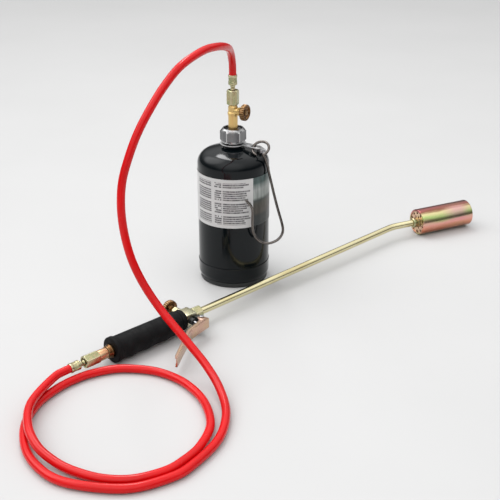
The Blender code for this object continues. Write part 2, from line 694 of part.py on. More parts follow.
def trigger_bracket(parent):
    """Lug under the block that carries the trigger's pivot pin."""
    top = -BLOCK_HALF_Y - GAP
    half = LUG_HALF
    outline = [(PIVOT_X - half, top), (PIVOT_X - half, PIVOT_Y)]
    outline += arc((PIVOT_X, PIVOT_Y), half, 195, 345, 8)
    outline += [(PIVOT_X + half, PIVOT_Y), (PIVOT_X + half, top)]
    lug = piece("trigger_bracket", plate(outline, -4.6, 4.6), "foot_black", parent=parent)
    combine(lug, helper("pin_bore", rod(-9, 9, 2.0, 16), (PIVOT_X, PIVOT_Y, 0), parent=parent), "DIFFERENCE")
    pin = [(-8, 0), (-8, 2.9), (-6.8, 2.9), (-6.8, 1.7), (6.8, 1.7), (6.8, 2.9), (8, 2.9), (8, 0)]
    piece("trigger_pivot_pin", turned(pin, 16), "bright_steel", at=(PIVOT_X, PIVOT_Y, 0), parent=parent)


def trigger_lever(parent):
    """A bent channel: a web, with two flanges that reach towards the grip and the pivot pin."""
    slope = radians(LEVER_SLOPE)
    drop = LEVER_REACH / cos(slope)

    def web_y(x):
        return PIVOT_Y - drop - (PIVOT_X - x) * tan(slope)

    knee = (LEVER_KNEE_X, web_y(LEVER_KNEE_X))
    depths = [(LEVER_FRONT_X, 11.4), (PIVOT_X + 1.6, 13.4), (PIVOT_X - 3.0, 13.4), (7.2, 8.6), (0.0, 6.4),
              (-10.0, 5.8), (LEVER_KNEE_X + 3, 5.5)]
    stations = [(x, web_y(x), deep) for x, deep in depths]
    stations.append((knee[0] - 3, knee[1] - 1.6, 5.2))
    for part in (0.35, 0.7, 0.96, 1.0):
        x = knee[0] + (LEVER_TIP[0] - knee[0]) * part
        y = knee[1] + (LEVER_TIP[1] - knee[1]) * part
        stations.append((x, y, 5.0 - 1.6 * part if part < 1 else 2.6))
    middle = [Vector((x - PIVOT_X, y - PIVOT_Y, 0)) for x, y, _ in stations]
    ways = tangents(middle)
    half = LEVER_HALF_WIDTH
    thick = LEVER_THICK
    rings = []
    for point, way, (_, _, deep) in zip(middle, ways, stations):
        inward = Vector((way.y, -way.x, 0))
        if inward.y < 0:
            inward = -inward
        section = ((-thick, -half), (-thick, half), (deep - thick, half), (deep - thick, half - thick),
                   (0, half - thick), (0, thick - half), (deep - thick, thick - half), (deep - thick, -half))
        rings.append([point + inward * n + Vector((0, 0, z)) for n, z in section])
    axis = frame_empty("trigger_axis", (PIVOT_X, PIVOT_Y, 0), parent=parent)
    lever = piece("trigger_lever", skin(rings), "pink_zinc", parent=axis, sharp=25)
    combine(lever, helper("lever_bore", rod(-12, 12, 2.0, 16), parent=axis), "DIFFERENCE")


def lance(parent):
    """The nut, and the bent tube as far as the burner. Returns the burner's place and direction."""
    nut = [(BLOCK_X[1] + GAP, THREAD_R + 0.5), (BLOCK_X[1] + GAP, 8.0), (BLOCK_X[1] + 1.3, 9.9),
           (27.0, 9.9), (28.0, 8.0), (28.0, TUBE_R + GAP), (TUBE_START, TUBE_R + GAP),
           (TUBE_START, THREAD_R + 0.5)]
    piece("lance_nut", turned(nut, 24, hexagon(17.0)), "yellow_zinc", rotation=along((1, 0, 0)),
          parent=parent)
    angle = radians(BEND_ANGLE)
    straight_end = BEND_AT - BEND_R * tan(angle / 2)
    path = [(TUBE_START + GAP, 0, 0), (straight_end / 2, 0, 0)]
    for x, y in arc((straight_end, -BEND_R), BEND_R, 90, 90 - BEND_ANGLE, 6):
        path.append((x, y, 0))
    way = Vector((cos(angle), -sin(angle), 0))
    burner_at = Vector((BEND_AT, 0, 0)) + way * BURNER_AFTER_BEND
    path.append(burner_at - way * 12)
    path.append(burner_at + way * 4)
    piece("lance_tube", swept(path, TUBE_R, 14, TUBE_BORE_R), "yellow_zinc", parent=parent)
    return burner_at, way


def burner(parent):
    """The bell: local Z runs from the back plate to the mouth."""
    collar = [(-10, TUBE_R + GAP), (-10, 6.3), (-8.6, 7.6), (-GAP, 7.6), (-GAP, TUBE_R + GAP)]
    piece("burner_collar", turned(collar, 24), "yellow_zinc", parent=parent)
    bore = BURNER_R - BURNER_WALL
    shell = [(-0.8, bore - 1.6), (-0.8, BURNER_R - 0.8), (0.1, BURNER_R), (BURNER_LENGTH - 0.6, BURNER_R),
             (BURNER_LENGTH, BURNER_R - 0.4), (BURNER_LENGTH, bore), (-GAP, bore), (-GAP, bore - 1.6)]
    piece("burner_shell", turned(shell, 36), "rainbow_zinc", parent=parent)
    disc = piece("burner_back_plate", ring(0, 2.2, TUBE_R + GAP, bore - GAP, 24), "yellow_zinc", parent=parent)
    holes = []
    for count, out, r in ((BURNER_OUTER_HOLES, 14.5, 1.9), (BURNER_INNER_HOLES, 9.4, 1.4)):
        for i in range(count):
            angle = 2 * pi * (i + 0.37) / count
            holes.append((rod(-3, 6, r, 7), Vector((out * cos(angle), out * sin(angle), 0))))
    combine(disc, helper("air_holes", together(holes), parent=parent), "DIFFERENCE")
    jet = [(-6, 0.9), (-6, 3.6), (4.3, 3.6), (4.3, 4.4), (5.0, 6), (11.5, 6), (12.2, 4.2), (17, 2.4), (17, 0.9)]
    piece("gas_jet", turned(jet, 12, hexagon(9.0)), "brass", parent=parent)


# ---------------------------------------------------------------- assembly

def build():
    clear_scene()
    cylinder = frame_empty("cylinder_frame", (*CYLINDER_AT, 0))
    cylinder_shell(cylinder)
    cylinder_bottom(cylinder)
    cylinder_neck(cylinder)
    relief_valve(cylinder)
    cylinder_valve(cylinder)
    hanging_ear(cylinder)
    carry_hook(cylinder)

    top_frame = frame_empty("hose_top_frame", (0, 0, VALVE_TOP - 12.6), parent=cylinder)
    hose_end("top", top_frame)

    # The wand rests on the grip's rear end and on the burner, whose radii differ.
    rest_span = BEND_AT + BURNER_AFTER_BEND + GRIP_LENGTH - 3
    tilt = asin((BURNER_R - GRIP_END_R) / rest_span)
    wand_z = GRIP_END_R + (GRIP_LENGTH - 3) * sin(tilt)
    tilting = Matrix.Rotation(-tilt, 3, "Y")
    wand = frame_empty("wand_frame", (*WAND_AT, wand_z), tilting)
    rear = grip(wand)
    nipple_end = inlet(wand, rear)
    valve_block(wand)
    plunger_set(wand)
    trigger_bracket(wand)
    trigger_lever(wand)
    burner_at, burner_way = lance(wand)
    burner(frame_empty("burner_frame", burner_at, along(burner_way), wand))
    to_rear = along((-1, 0, 0))
    nut_start = -nipple_end + 12.6
    torch_frame = frame_empty("hose_torch_frame", (nut_start, 0, 0), to_rear, wand)
    hose_end("torch", torch_frame)

    top_at = Vector((*CYLINDER_AT, VALVE_TOP - 12.6 + HOSE_START))
    torch_at = Vector((*WAND_AT, wand_z)) + tilting @ Vector((nut_start - HOSE_START, 0, 0))
    hose((top_at, Vector((0, 0, 1))), (torch_at, tilting @ Vector((-1, 0, 0))))


build()
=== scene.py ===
"""Propane torch with its hose and gas cylinder: camera, light, fine meshes and materials.

Shapes are in millimetres in their group's own frame, and MM turns them into metres. The groups' frames
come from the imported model's joints and boxes.
"""

import json
from math import acos, cos, pi, radians, sin, sqrt, tan

import bmesh
import bpy
from mathutils import Matrix, Vector


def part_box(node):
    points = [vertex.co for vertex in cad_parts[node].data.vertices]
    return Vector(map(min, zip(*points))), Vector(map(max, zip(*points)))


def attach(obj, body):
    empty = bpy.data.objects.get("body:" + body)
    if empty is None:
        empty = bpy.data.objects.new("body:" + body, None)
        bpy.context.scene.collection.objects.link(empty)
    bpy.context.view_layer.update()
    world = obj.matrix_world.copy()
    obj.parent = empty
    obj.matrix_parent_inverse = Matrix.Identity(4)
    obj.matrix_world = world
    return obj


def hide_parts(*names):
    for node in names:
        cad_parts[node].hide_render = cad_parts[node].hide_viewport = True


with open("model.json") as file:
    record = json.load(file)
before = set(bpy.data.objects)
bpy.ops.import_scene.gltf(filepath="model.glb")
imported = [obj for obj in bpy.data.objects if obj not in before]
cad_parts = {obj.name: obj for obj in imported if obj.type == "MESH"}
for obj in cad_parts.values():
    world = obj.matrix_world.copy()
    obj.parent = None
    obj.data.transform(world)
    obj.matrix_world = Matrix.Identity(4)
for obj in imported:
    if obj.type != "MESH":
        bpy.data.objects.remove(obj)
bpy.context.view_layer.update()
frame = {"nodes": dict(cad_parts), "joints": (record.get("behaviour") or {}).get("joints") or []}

MM = 0.001
UP = Vector((0, 0, 1))
JOINTS = {joint["name"]: joint for joint in frame["joints"]}
ROOT = "torch"

# The torch lies along X from its valve block, with the burner bent aside in the XY plane, in millimetres.
PIVOT = (13.2, -21.0)
BLOCK_X = (-2.0, 15.0)
BEND_AT = 423.0
BEND_ANGLE = 18.4
BEND_R = 60.0
BURNER_AFTER_BEND = 47.0
BURNER_WAY = Vector((cos(radians(BEND_ANGLE)), -sin(radians(BEND_ANGLE)), 0))
BURNER_AT = Vector((BEND_AT, 0, 0)) + BURNER_WAY * BURNER_AFTER_BEND
TORCH_NUT_X = -133.5
TRIGGER_LINE_X = 4.5
TOP_NUT_Z = 249.9


# ---------------- places

def along(direction):
    """A turn that brings +Z to the direction."""
    return Vector(direction).to_track_quat("Z", "Y").to_matrix().to_4x4()


def moved(x, y, z):
    return Matrix.Translation(Vector((x, y, z)) * MM)


def joint_place(name):
    joint = JOINTS[name]
    return Matrix.Translation(joint["pos_m"]) @ along(joint["axis"])


def cylinder_place():
    low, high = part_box("foot_ring")
    middle = (low + high) / 2
    return Matrix.Translation((middle.x, middle.y, 0))


def wand_place():
    """X runs along the lance, and the trigger's pivot is at PIVOT."""
    joint = JOINTS["trigger_squeeze"]
    up = -Vector(joint["axis"]).normalized()
    forward = Vector((0, 1, 0)).cross(up)
    turn = Matrix((forward, (0, 1, 0), up)).transposed()
    return Matrix.Translation(joint["pos_m"]) @ turn.to_4x4() @ moved(-PIVOT[0], -PIVOT[1], 0)


CYLINDER = cylinder_place()
WAND = wand_place()
VALVE = joint_place("valve_turn")
FLOW = joint_place("flow_turn")
HOOK = Matrix.Translation(JOINTS["hook_swing"]["pos_m"])
BURNER = WAND @ moved(*BURNER_AT) @ along(BURNER_WAY)
TO_REAR = WAND @ along((-1, 0, 0))
TO_FRONT = WAND @ along((1, 0, 0))
TO_TRIGGER = WAND @ moved(TRIGGER_LINE_X, 0, 0) @ along((0, -1, 0))
TOP_NUT = CYLINDER @ moved(0, 0, TOP_NUT_Z)
TORCH_NUT = WAND @ moved(TORCH_NUT_X, 0, 0) @ along((-1, 0, 0))


# ---------------- camera, light and floor

# Metres and degrees. The camera's place is measured from the cylinder's foot.
CAMERA_BACK = Vector((-0.8862, -0.9473, 0.6197))
CAMERA_AZIMUTH = 44.1
CAMERA_PITCH = 24.2
CAMERA_LENS = 72
CAMERA_SENSOR = 36
LAMP_SIZE = (0.36, 1.5)
LAMP_ENERGY = 12.5
LAMP_AT = Vector((0.53, 1.1, 2.18))
KEY_GLOW = {"azimuth": 118, "elevation": 48, "wide": 33, "narrow": 12, "strength": 2.2}
FRONT_GLOW = {"azimuth": 212, "elevation": 37, "wide": 52, "narrow": 10, "strength": 0.6}
FLOOR_HALF = 14
FLOOR_BELOW = 0.0003
# Painted light on the floor: brightest at this point, with painted shade from FLOOR_SHADE_FROM to
# FLOOR_SHADE_TO metres away.
FLOOR_PAINTED_LIGHT_CENTRE = (-0.42, -0.1, 0.0)
FLOOR_SHADE_FROM = 0.3
FLOOR_SHADE_TO = 3.2


def added(name, data):
    """A new object in the scene."""
    obj = bpy.data.objects.new(name, data)
    bpy.context.scene.collection.objects.link(obj)
    return obj


def camera():
    data = bpy.data.cameras.new("camera")
    data.lens = CAMERA_LENS
    data.sensor_width = CAMERA_SENSOR
    data.clip_end = 50
    obj = added("camera", data)
    obj.location = CYLINDER.translation + CAMERA_BACK
    obj.rotation_euler = (radians(90 - CAMERA_PITCH), 0, -radians(CAMERA_AZIMUTH))
    bpy.context.scene.camera = obj


def long_lamp():
    """A long soft lamp above and behind the object, turned towards it."""
    data = bpy.data.lights.new("long_lamp", "AREA")
    data.shape = "ELLIPSE"
    data.size, data.size_y = LAMP_SIZE
    data.energy = LAMP_ENERGY
    obj = added("long_lamp", data)
    obj.location = LAMP_AT
    obj.rotation_euler = (-LAMP_AT).to_track_quat("-Z", "Y").to_euler()


def glow(tree, ray, azimuth, elevation, wide, narrow, strength):
    """Light of the surroundings round a direction: none beyond the wide angle, full within the narrow one."""
    level = cos(radians(elevation))
    way = (level * cos(radians(azimuth)), level * sin(radians(azimuth)), sin(radians(elevation)))
    toward = node(tree, "VectorMath", {0: ray, 1: way}, operation="DOT_PRODUCT").outputs["Value"]
    inputs = {0: toward, 1: cos(radians(wide)), 2: cos(radians(narrow)), 3: 0.0, 4: strength}
    return node(tree, "MapRange", inputs, interpolation_type="SMOOTHSTEP").outputs[0]


def lights():
    long_lamp()
    world = bpy.data.worlds.new("studio")
    bpy.context.scene.world = world
    world.use_nodes = True
    tree = world.node_tree
    ray = node(tree, "TexCoord").outputs["Generated"]
    height = node(tree, "SeparateXYZ", {0: ray}).outputs["Z"]
    sky = banded(tree, height, ((0.0, grey(0.13)), (0.2, grey(0.13)), (0.5, grey(0.84)), (0.85, grey(1.44))))
    glows = math(tree, "ADD", glow(tree, ray, **KEY_GLOW), glow(tree, ray, **FRONT_GLOW))
    link(tree, tree.nodes["Background"], "Strength", math(tree, "ADD", sky, glows))
    tree.nodes["Background"].inputs["Color"].default_value = (1, 1, 1, 1)
    bpy.context.scene.view_settings.view_transform = "Standard"


def floor():
    """Nearly white paper with painted light: its colour gets a little darker with distance from the brightest
    point, as painted shade.
    """
    bm = bmesh.new()
    bmesh.ops.create_grid(bm, x_segments=1, y_segments=1, size=FLOOR_HALF)
    mesh = bpy.data.meshes.new("floor")
    bm.to_mesh(mesh)
    bm.free()
    obj = added("floor", mesh)
    material, tree, shader = new_look("floor_paper", Roughness=0.7, Specular_IOR_Level=0.25)
    paper = ramp(tree, noise(tree, 3, 3), grey(0.53), grey(0.545))
    point = node(tree, "TexCoord").outputs["Object"]
    away = node(tree, "VectorMath", {0: point, 1: FLOOR_PAINTED_LIGHT_CENTRE}, operation="DISTANCE").outputs["Value"]
    share = ranged(tree, away, 0.0, 1.0, FLOOR_SHADE_FROM, FLOOR_SHADE_TO)
    # Painted shade: the paper's colour is multiplied down with distance from the brightest point.
    painted_shade = ramp(tree, share, grey(1.0), grey(0.84), grey(0.70), low=0.0, high=1.0)
    link(tree, shader, "Base Color", mixed(tree, 1.0, paper, painted_shade, "MULTIPLY"))
    obj.data.materials.append(material)
    obj.location.z = -FLOOR_BELOW


# ---------------- material nodes

def new_look(name, **values):
    """A material, its node tree and its Principled shader with those socket values."""
    material = bpy.data.materials.new(name)
    material.use_nodes = True
    tree = material.node_tree
    shader = tree.nodes["Principled BSDF"]
    for socket, value in values.items():
        shader.inputs[socket.replace("_", " ")].default_value = value
    return material, tree, shader


def node(tree, kind, inputs=None, **settings):
    made = tree.nodes.new("ShaderNode" + kind)
    for key, value in settings.items():
        setattr(made, key, value)
    for key, value in (inputs or {}).items():
        link(tree, made, key, value)
    return made


def link(tree, target, key, value):
    """Joins a socket to the target's input, or sets a plain value."""
    if isinstance(value, bpy.types.NodeSocket):
        tree.links.new(value, target.inputs[key])
    else:
        target.inputs[key].default_value = value


def math(tree, operation, a, b=0.0):
    return node(tree, "Math", {0: a, 1: b}, operation=operation).outputs[0]


def object_point(tree, scale=(1, 1, 1)):
    """The object's own coordinates, stretched."""
    coordinates = node(tree, "TexCoord").outputs["Object"]
    return node(tree, "Mapping", {"Vector": coordinates, "Scale": scale}).outputs["Vector"]


def noise(tree, scale, detail=4.0, stretch=(1, 1, 1), roughness=0.55, distortion=0.0):
    inputs = {"Vector": object_point(tree, stretch), "Scale": scale, "Detail": detail,
              "Roughness": roughness, "Distortion": distortion}
    return node(tree, "TexNoise", inputs).outputs[0]


def ramp(tree, factor, *colours, low=0.3, high=0.7, places=None):
    """Colours spread evenly between two factors, or at the places given."""
    made = node(tree, "ValToRGB", {0: factor})
    stops = made.color_ramp.elements
    while len(stops) < len(colours):
        stops.new(0.5)
    for i, colour in enumerate(colours):
        stops[i].position = places[i] if places else low + (high - low) * i / (len(colours) - 1)
        stops[i].color = (*colour, 1)
    return made.outputs["Color"]


def banded(tree, factor, bands):
    """Colours at their places, as (place, colour) pairs."""
    return ramp(tree, factor, *[colour for _, colour in bands], places=[place for place, _ in bands])


def grey(level):
    return (level, level, level)


def mixed(tree, factor, a, b, blend="MIX"):
    made = node(tree, "Mix", data_type="RGBA", blend_type=blend)
    link(tree, made, 0, factor)
    for key, value in ((6, a), (7, b)):
        link(tree, made, key, value if isinstance(value, bpy.types.NodeSocket) else (*value, 1))
    return made.outputs[2]


def ranged(tree, factor, low, high, start=0.3, end=0.7):
    """A number that runs from low to high as the factor goes from start to end."""
    inputs = {0: factor, 1: start, 2: end, 3: low, 4: high}
    return node(tree, "MapRange", inputs).outputs[0]


def bumped(tree, shader, height, strength, distance, under=None):
    inputs = {"Height": height, "Strength": strength, "Distance": distance}
    made = node(tree, "Bump", inputs)
    if under:
        link(tree, made, "Normal", under)
    link(tree, shader, "Normal", made.outputs[0])
    return made.outputs[0]


def edges(tree, start=0.51, end=0.56):
    """1 on worn outer edges and 0 elsewhere."""
    point = node(tree, "NewGeometry").outputs["Pointiness"]
    return ranged(tree, point, 0.0, 1.0, start, end)


# ---------------- materials

def metal(name, colours, rough, patch, grain, bump, stretch=(1, 1, 1), worn=None, marks=None):
    """Plated or turned metal: patches of colour, uneven gloss, fine marks along one way, worn edges."""
    material, tree, shader = new_look(name, Metallic=1.0)
    colour = ramp(tree, noise(tree, patch, 5, stretch, distortion=0.6), *colours)
    if worn:
        colour = mixed(tree, edges(tree), colour, worn)
    link(tree, shader, "Base Color", colour)
    link(tree, shader, "Roughness", ranged(tree, noise(tree, patch * 3, 6, stretch), rough[0], rough[1]))
    fine = noise(tree, grain, 3, marks or stretch)
    broad = noise(tree, patch * 2, 4)
    soft = bumped(tree, shader, broad, bump, 0.0004)
    bumped(tree, shader, fine, bump * 1.5, 0.0001, soft)
    return material


def burner_zinc():
    """Iridescent plating: long streaks that change colour round the bell and turn paler before its mouth."""
    material, tree, shader = new_look("burner_zinc", Metallic=1.0)
    axes = node(tree, "SeparateXYZ", {0: object_point(tree)})
    angle = math(tree, "ARCTAN2", axes.outputs["Y"], axes.outputs["X"])
    turn = math(tree, "ADD", math(tree, "DIVIDE", angle, 2 * pi), 0.5)
    wander = ranged(tree, noise(tree, 30, 3, (1, 1, 0.35)), -0.035, 0.035)
    streak = ranged(tree, noise(tree, 900, 4, (1, 1, 0.012)), -0.012, 0.012)
    turn = math(tree, "ADD", math(tree, "ADD", turn, wander), streak)
    # Each colour has its place as a share of a turn.
    bands = ((0.00, (0.79, 0.38, 0.31)), (0.03, (0.76, 0.34, 0.24)), (0.055, (0.70, 0.28, 0.17)),
             (0.085, (0.52, 0.17, 0.09)), (0.13, (0.62, 0.32, 0.22)), (0.22, (0.55, 0.52, 0.26)),
             (0.33, (0.70, 0.36, 0.28)), (0.45, (0.50, 0.58, 0.28)), (0.58, (0.66, 0.30, 0.26)),
             (0.70, (0.28, 0.11, 0.105)), (0.785, (0.35, 0.12, 0.11)), (0.815, (0.24, 0.10, 0.065)),
             (0.855, (0.62, 0.55, 0.29)), (0.905, (0.43, 0.57, 0.21)), (0.94, (0.42, 0.40, 0.19)),
             (0.972, (0.76, 0.44, 0.34)))
    paler = ((0.00, (0.80, 0.36, 0.33)), (0.05, (0.76, 0.38, 0.22)), (0.12, (0.64, 0.36, 0.26)),
             (0.30, (0.62, 0.46, 0.34)), (0.50, (0.70, 0.38, 0.34)), (0.72, (0.31, 0.15, 0.12)),
             (0.80, (0.34, 0.15, 0.11)), (0.85, (0.62, 0.36, 0.34)), (0.895, (0.60, 0.42, 0.34)),
             (0.935, (0.42, 0.30, 0.22)), (0.965, (0.78, 0.35, 0.34)))
    pale_from = ranged(tree, axes.outputs["Z"], 0.0, 0.95, 0.035, 0.060)
    pale_until = ranged(tree, axes.outputs["Z"], 1.0, 0.15, 0.072, 0.086)
    paleness = math(tree, "MULTIPLY", pale_from, pale_until)
    colour = mixed(tree, paleness, banded(tree, turn, bands), banded(tree, turn, paler))
    link(tree, shader, "Base Color", colour)
    link(tree, shader, "Roughness", ranged(tree, noise(tree, 500, 4, (1, 1, 0.03)), 0.15, 0.28))
    bumped(tree, shader, noise(tree, 1500, 3, (1, 1, 0.02)), 0.1, 0.0001)
    return material


def cylinder_paint():
    """Glossy enamel, almost black green, with orange peel and a little dust."""
    material, tree, shader = new_look("cylinder_paint", IOR=1.33, Coat_Weight=0.05, Coat_Roughness=0.04,
                                      Coat_IOR=1.3)
    body = ramp(tree, noise(tree, 14, 4), (0.0018, 0.0034, 0.0045), (0.0030, 0.0050, 0.0062))
    dust = noise(tree, 900, 5, roughness=0.7)
    dusty = mixed(tree, ranged(tree, dust, 0.0, 0.08, 0.66, 0.8), body, (0.16, 0.17, 0.17))
    link(tree, shader, "Base Color", dusty)
    link(tree, shader, "Roughness", ranged(tree, noise(tree, 60, 5), 0.08, 0.13))
    peel = bumped(tree, shader, noise(tree, 260, 2), 0.02, 0.0004)
    bumped(tree, shader, noise(tree, 22, 2), 0.02, 0.001, peel)
    return material


def foot_paint():
    material, tree, shader = new_look("foot_paint", IOR=1.5)
    black = ramp(tree, noise(tree, 200, 5), (0.008, 0.010, 0.011), (0.022, 0.024, 0.024))
    link(tree, shader, "Base Color", black)
    link(tree, shader, "Roughness", ranged(tree, noise(tree, 300, 5), 0.3, 0.55))
    bumped(tree, shader, noise(tree, 800, 3), 0.1, 0.0002)
    return material


def label_print():
    """Printed film: pale paper with plain grey bars in columns, and a dark panel at one side."""
    material, tree, shader = new_look("label_print", Coat_Weight=0.25, Coat_Roughness=0.25)
    axes = node(tree, "SeparateXYZ", {0: object_point(tree)})
    angle = math(tree, "ARCTAN2", axes.outputs["Y"], axes.outputs["X"])
    turned_by = math(tree, "ADD", math(tree, "MULTIPLY", angle, 180 / pi), LABEL_VIEW + 180)
    degrees = math(tree, "SUBTRACT", math(tree, "FLOORED_MODULO", turned_by, 360.0), 180.0)
    height = math(tree, "DIVIDE", math(tree, "SUBTRACT", axes.outputs["Z"], LABEL_Z[0] * MM),
                  (LABEL_Z[1] - LABEL_Z[0]) * MM)

    def both(a, b):
        return math(tree, "MULTIPLY", a, b)

    def between(value, low, high):
        return both(math(tree, "GREATER_THAN", value, low), math(tree, "LESS_THAN", value, high))

    def chance(x, y):
        """A random number from 0 to 1 for each whole x and y."""
        cell = node(tree, "CombineXYZ", {0: x, 1: y}).outputs[0]
        return node(tree, "TexWhiteNoise", {"Vector": cell}, noise_dimensions="3D").outputs[0]

    rows = math(tree, "MULTIPLY", height, LABEL_ROWS)
    row = math(tree, "FLOOR", rows)
    on_row = between(math(tree, "FRACT", rows), 0.12, 0.82)
    words = chance(math(tree, "FLOOR", math(tree, "MULTIPLY", degrees, 0.55)), row)
    line_end = math(tree, "ADD", math(tree, "MULTIPLY", chance(0.0, row), 14.0), 14.0)
    left = between(degrees, -68, -37)
    heads = both(between(degrees, -31, -19), math(tree, "GREATER_THAN", words, 0.15))
    wide = between(degrees, -17, line_end)
    columns = math(tree, "MAXIMUM", math(tree, "MAXIMUM", left, heads), wide)
    text_rows = between(height, 0.07, 0.93)
    not_sixth_row = math(tree, "GREATER_THAN", math(tree, "FRACT", math(tree, "MULTIPLY", row, 0.1667)), 0.1)
    ink = both(both(on_row, columns), both(text_rows, not_sixth_row))
    ink = both(ink, math(tree, "ADD", math(tree, "MULTIPLY", words, 0.34), 0.62))
    paper = ramp(tree, noise(tree, 40, 3), (0.53, 0.53, 0.53), (0.59, 0.585, 0.58))
    page = mixed(tree, ink, paper, (0.05, 0.045, 0.05))

    # Each tone of the dark panel has its place as a share of the label's height.
    tones = ((0.0, (0.006, 0.012, 0.014)), (0.2, (0.010, 0.014, 0.014)), (0.26, (0.045, 0.035, 0.026)),
             (0.44, (0.05, 0.045, 0.03)), (0.52, (0.03, 0.04, 0.035)), (0.58, (0.28, 0.31, 0.29)),
             (0.74, (0.34, 0.36, 0.35)), (0.84, (0.16, 0.20, 0.19)), (0.88, (0.05, 0.09, 0.085)),
             (1.0, (0.045, 0.08, 0.075)))
    panel = banded(tree, height, tones)
    bars = ranged(tree, noise(tree, 300, 2, (1, 1, 0.1)), 0.55, 1.15)
    streaks = node(tree, "CombineColor", {0: bars, 1: bars, 2: bars}).outputs[0]
    panel = mixed(tree, 1.0, panel, streaks, "MULTIPLY")
    on_panel = between(degrees, 32, 178)
    link(tree, shader, "Base Color", mixed(tree, on_panel, page, panel))
    link(tree, shader, "Roughness", ranged(tree, noise(tree, 120, 4), 0.34, 0.5))
    bumped(tree, shader, noise(tree, 60, 3), 0.08, 0.0008)
    return material


def hose_rubber():
    """Smooth glossy red jacket with faint marks and a few scuffs."""
    material, tree, shader = new_look("hose_rubber", Coat_Weight=0.2, Coat_Roughness=0.08, Coat_IOR=1.4,
                                      IOR=1.35, Specular_IOR_Level=0.4)
    red = ramp(tree, noise(tree, 25, 4), (0.55, 0.002, 0.003), (0.65, 0.003, 0.005))
    scuff = ranged(tree, noise(tree, 700, 6, roughness=0.7), 0.0, 0.25, 0.64, 0.78)
    link(tree, shader, "Base Color", mixed(tree, scuff, red, (0.52, 0.025, 0.025)))
    link(tree, shader, "Roughness", ranged(tree, noise(tree, 150, 5), 0.16, 0.28))
    bumped(tree, shader, noise(tree, 260, 3), 0.03, 0.0005)
    return material


def grip_plastic():
    material, tree, shader = new_look("grip_plastic", IOR=1.46, Specular_IOR_Level=0.16)
    black = ramp(tree, noise(tree, 90, 5), (0.003, 0.003, 0.0034), (0.007, 0.007, 0.0075))
    dust = ranged(tree, noise(tree, 1500, 5, roughness=0.8), 0.0, 0.2, 0.62, 0.8)
    link(tree, shader, "Base Color", mixed(tree, dust, black, grey(0.06)))
    link(tree, shader, "Roughness", ranged(tree, noise(tree, 240, 5), 0.5, 0.72))
    soft = bumped(tree, shader, noise(tree, 120, 3), 0.15, 0.001)
    bumped(tree, shader, noise(tree, 2600, 4, roughness=0.7), 0.35, 0.00025, soft)
    return material


RING_MARKS = (1, 1, 40)

METALS = {
    "lance_zinc": ("yellow_zinc", dict(
        colours=((0.56, 0.48, 0.26), (0.70, 0.61, 0.34), (0.76, 0.70, 0.44), (0.64, 0.55, 0.30)),
        rough=(0.12, 0.22), stretch=(0.08, 1, 1), patch=90, grain=1500, bump=0.04)),
    "fitting_zinc": ("yellow_zinc", dict(
        colours=((0.40, 0.25, 0.18), (0.45, 0.39, 0.22), (0.48, 0.43, 0.25), (0.33, 0.36, 0.19),
                 (0.45, 0.38, 0.23)),
        rough=(0.2, 0.34), stretch=(1, 1, 0.5), patch=130, grain=500, bump=0.05, worn=(0.78, 0.74, 0.56),
        marks=RING_MARKS)),
    "plate_zinc": ("yellow_zinc", dict(
        colours=((0.60, 0.34, 0.24), (0.68, 0.42, 0.30), (0.66, 0.48, 0.28)),
        rough=(0.22, 0.36), patch=160, grain=1200, bump=0.05, worn=(0.82, 0.68, 0.44))),
    "lever_zinc": ("pink_zinc", dict(
        colours=((0.46, 0.20, 0.15), (0.62, 0.36, 0.28), (0.60, 0.42, 0.22), (0.52, 0.27, 0.21)),
        rough=(0.16, 0.28), stretch=(0.3, 1, 1), patch=90, grain=900, bump=0.06, worn=(0.60, 0.42, 0.32))),
    "knob_brass": ("brass", dict(
        colours=((0.08, 0.032, 0.013), (0.14, 0.065, 0.026), (0.23, 0.12, 0.052)),
        rough=(0.18, 0.34), stretch=(1, 1, 0.6), patch=140, grain=420, bump=0.06, worn=(0.50, 0.34, 0.17),
        marks=RING_MARKS)),
    "copper_brass": ("yellow_zinc", dict(
        colours=((0.56, 0.28, 0.14), (0.70, 0.42, 0.24), (0.74, 0.56, 0.34)),
        rough=(0.2, 0.34), stretch=(1, 1, 0.6), patch=140, grain=420, bump=0.06)),
    "nut_steel": ("bright_steel", dict(
        colours=((0.11, 0.11, 0.115), (0.16, 0.16, 0.165), grey(0.23)),
        rough=(0.16, 0.28), stretch=(1, 1, 0.4), patch=60, grain=600, bump=0.03, worn=grey(0.78),
        marks=RING_MARKS)),
    "plain_steel": ("bright_steel", dict(
        colours=((0.30, 0.30, 0.31), (0.38, 0.38, 0.39), grey(0.46)),
        rough=(0.24, 0.4), patch=200, grain=900, bump=0.06, worn=grey(0.72))),
    "wire_steel": ("dark_wire", dict(
        colours=((0.09, 0.08, 0.075), (0.15, 0.135, 0.125), (0.22, 0.20, 0.185)),
        rough=(0.16, 0.3), stretch=(1, 1, 0.2), patch=150, grain=1200, bump=0.05)),
}


def all_looks():
    """Each look's material and the record's slot that it belongs to."""
    looks = {
        "cylinder_paint": (cylinder_paint(), "steel_green"),
        "foot_paint": (foot_paint(), "foot_black"),
        "label_print": (label_print(), "label_paper"),
        "hose_rubber": (hose_rubber(), "hose_red"),
        "grip_plastic": (grip_plastic(), "grip_black"),
        "burner_zinc": (burner_zinc(), "rainbow_zinc"),
    }
    for name, (slot, values) in METALS.items():
        looks[name] = (metal(name, **values), slot)
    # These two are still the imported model's own plain materials, with no procedural detail.
    for slot in ("brass", "seal_rubber"):
        looks[slot] = (bpy.data.materials[slot], slot)
    return looks


# ---------------- shapes

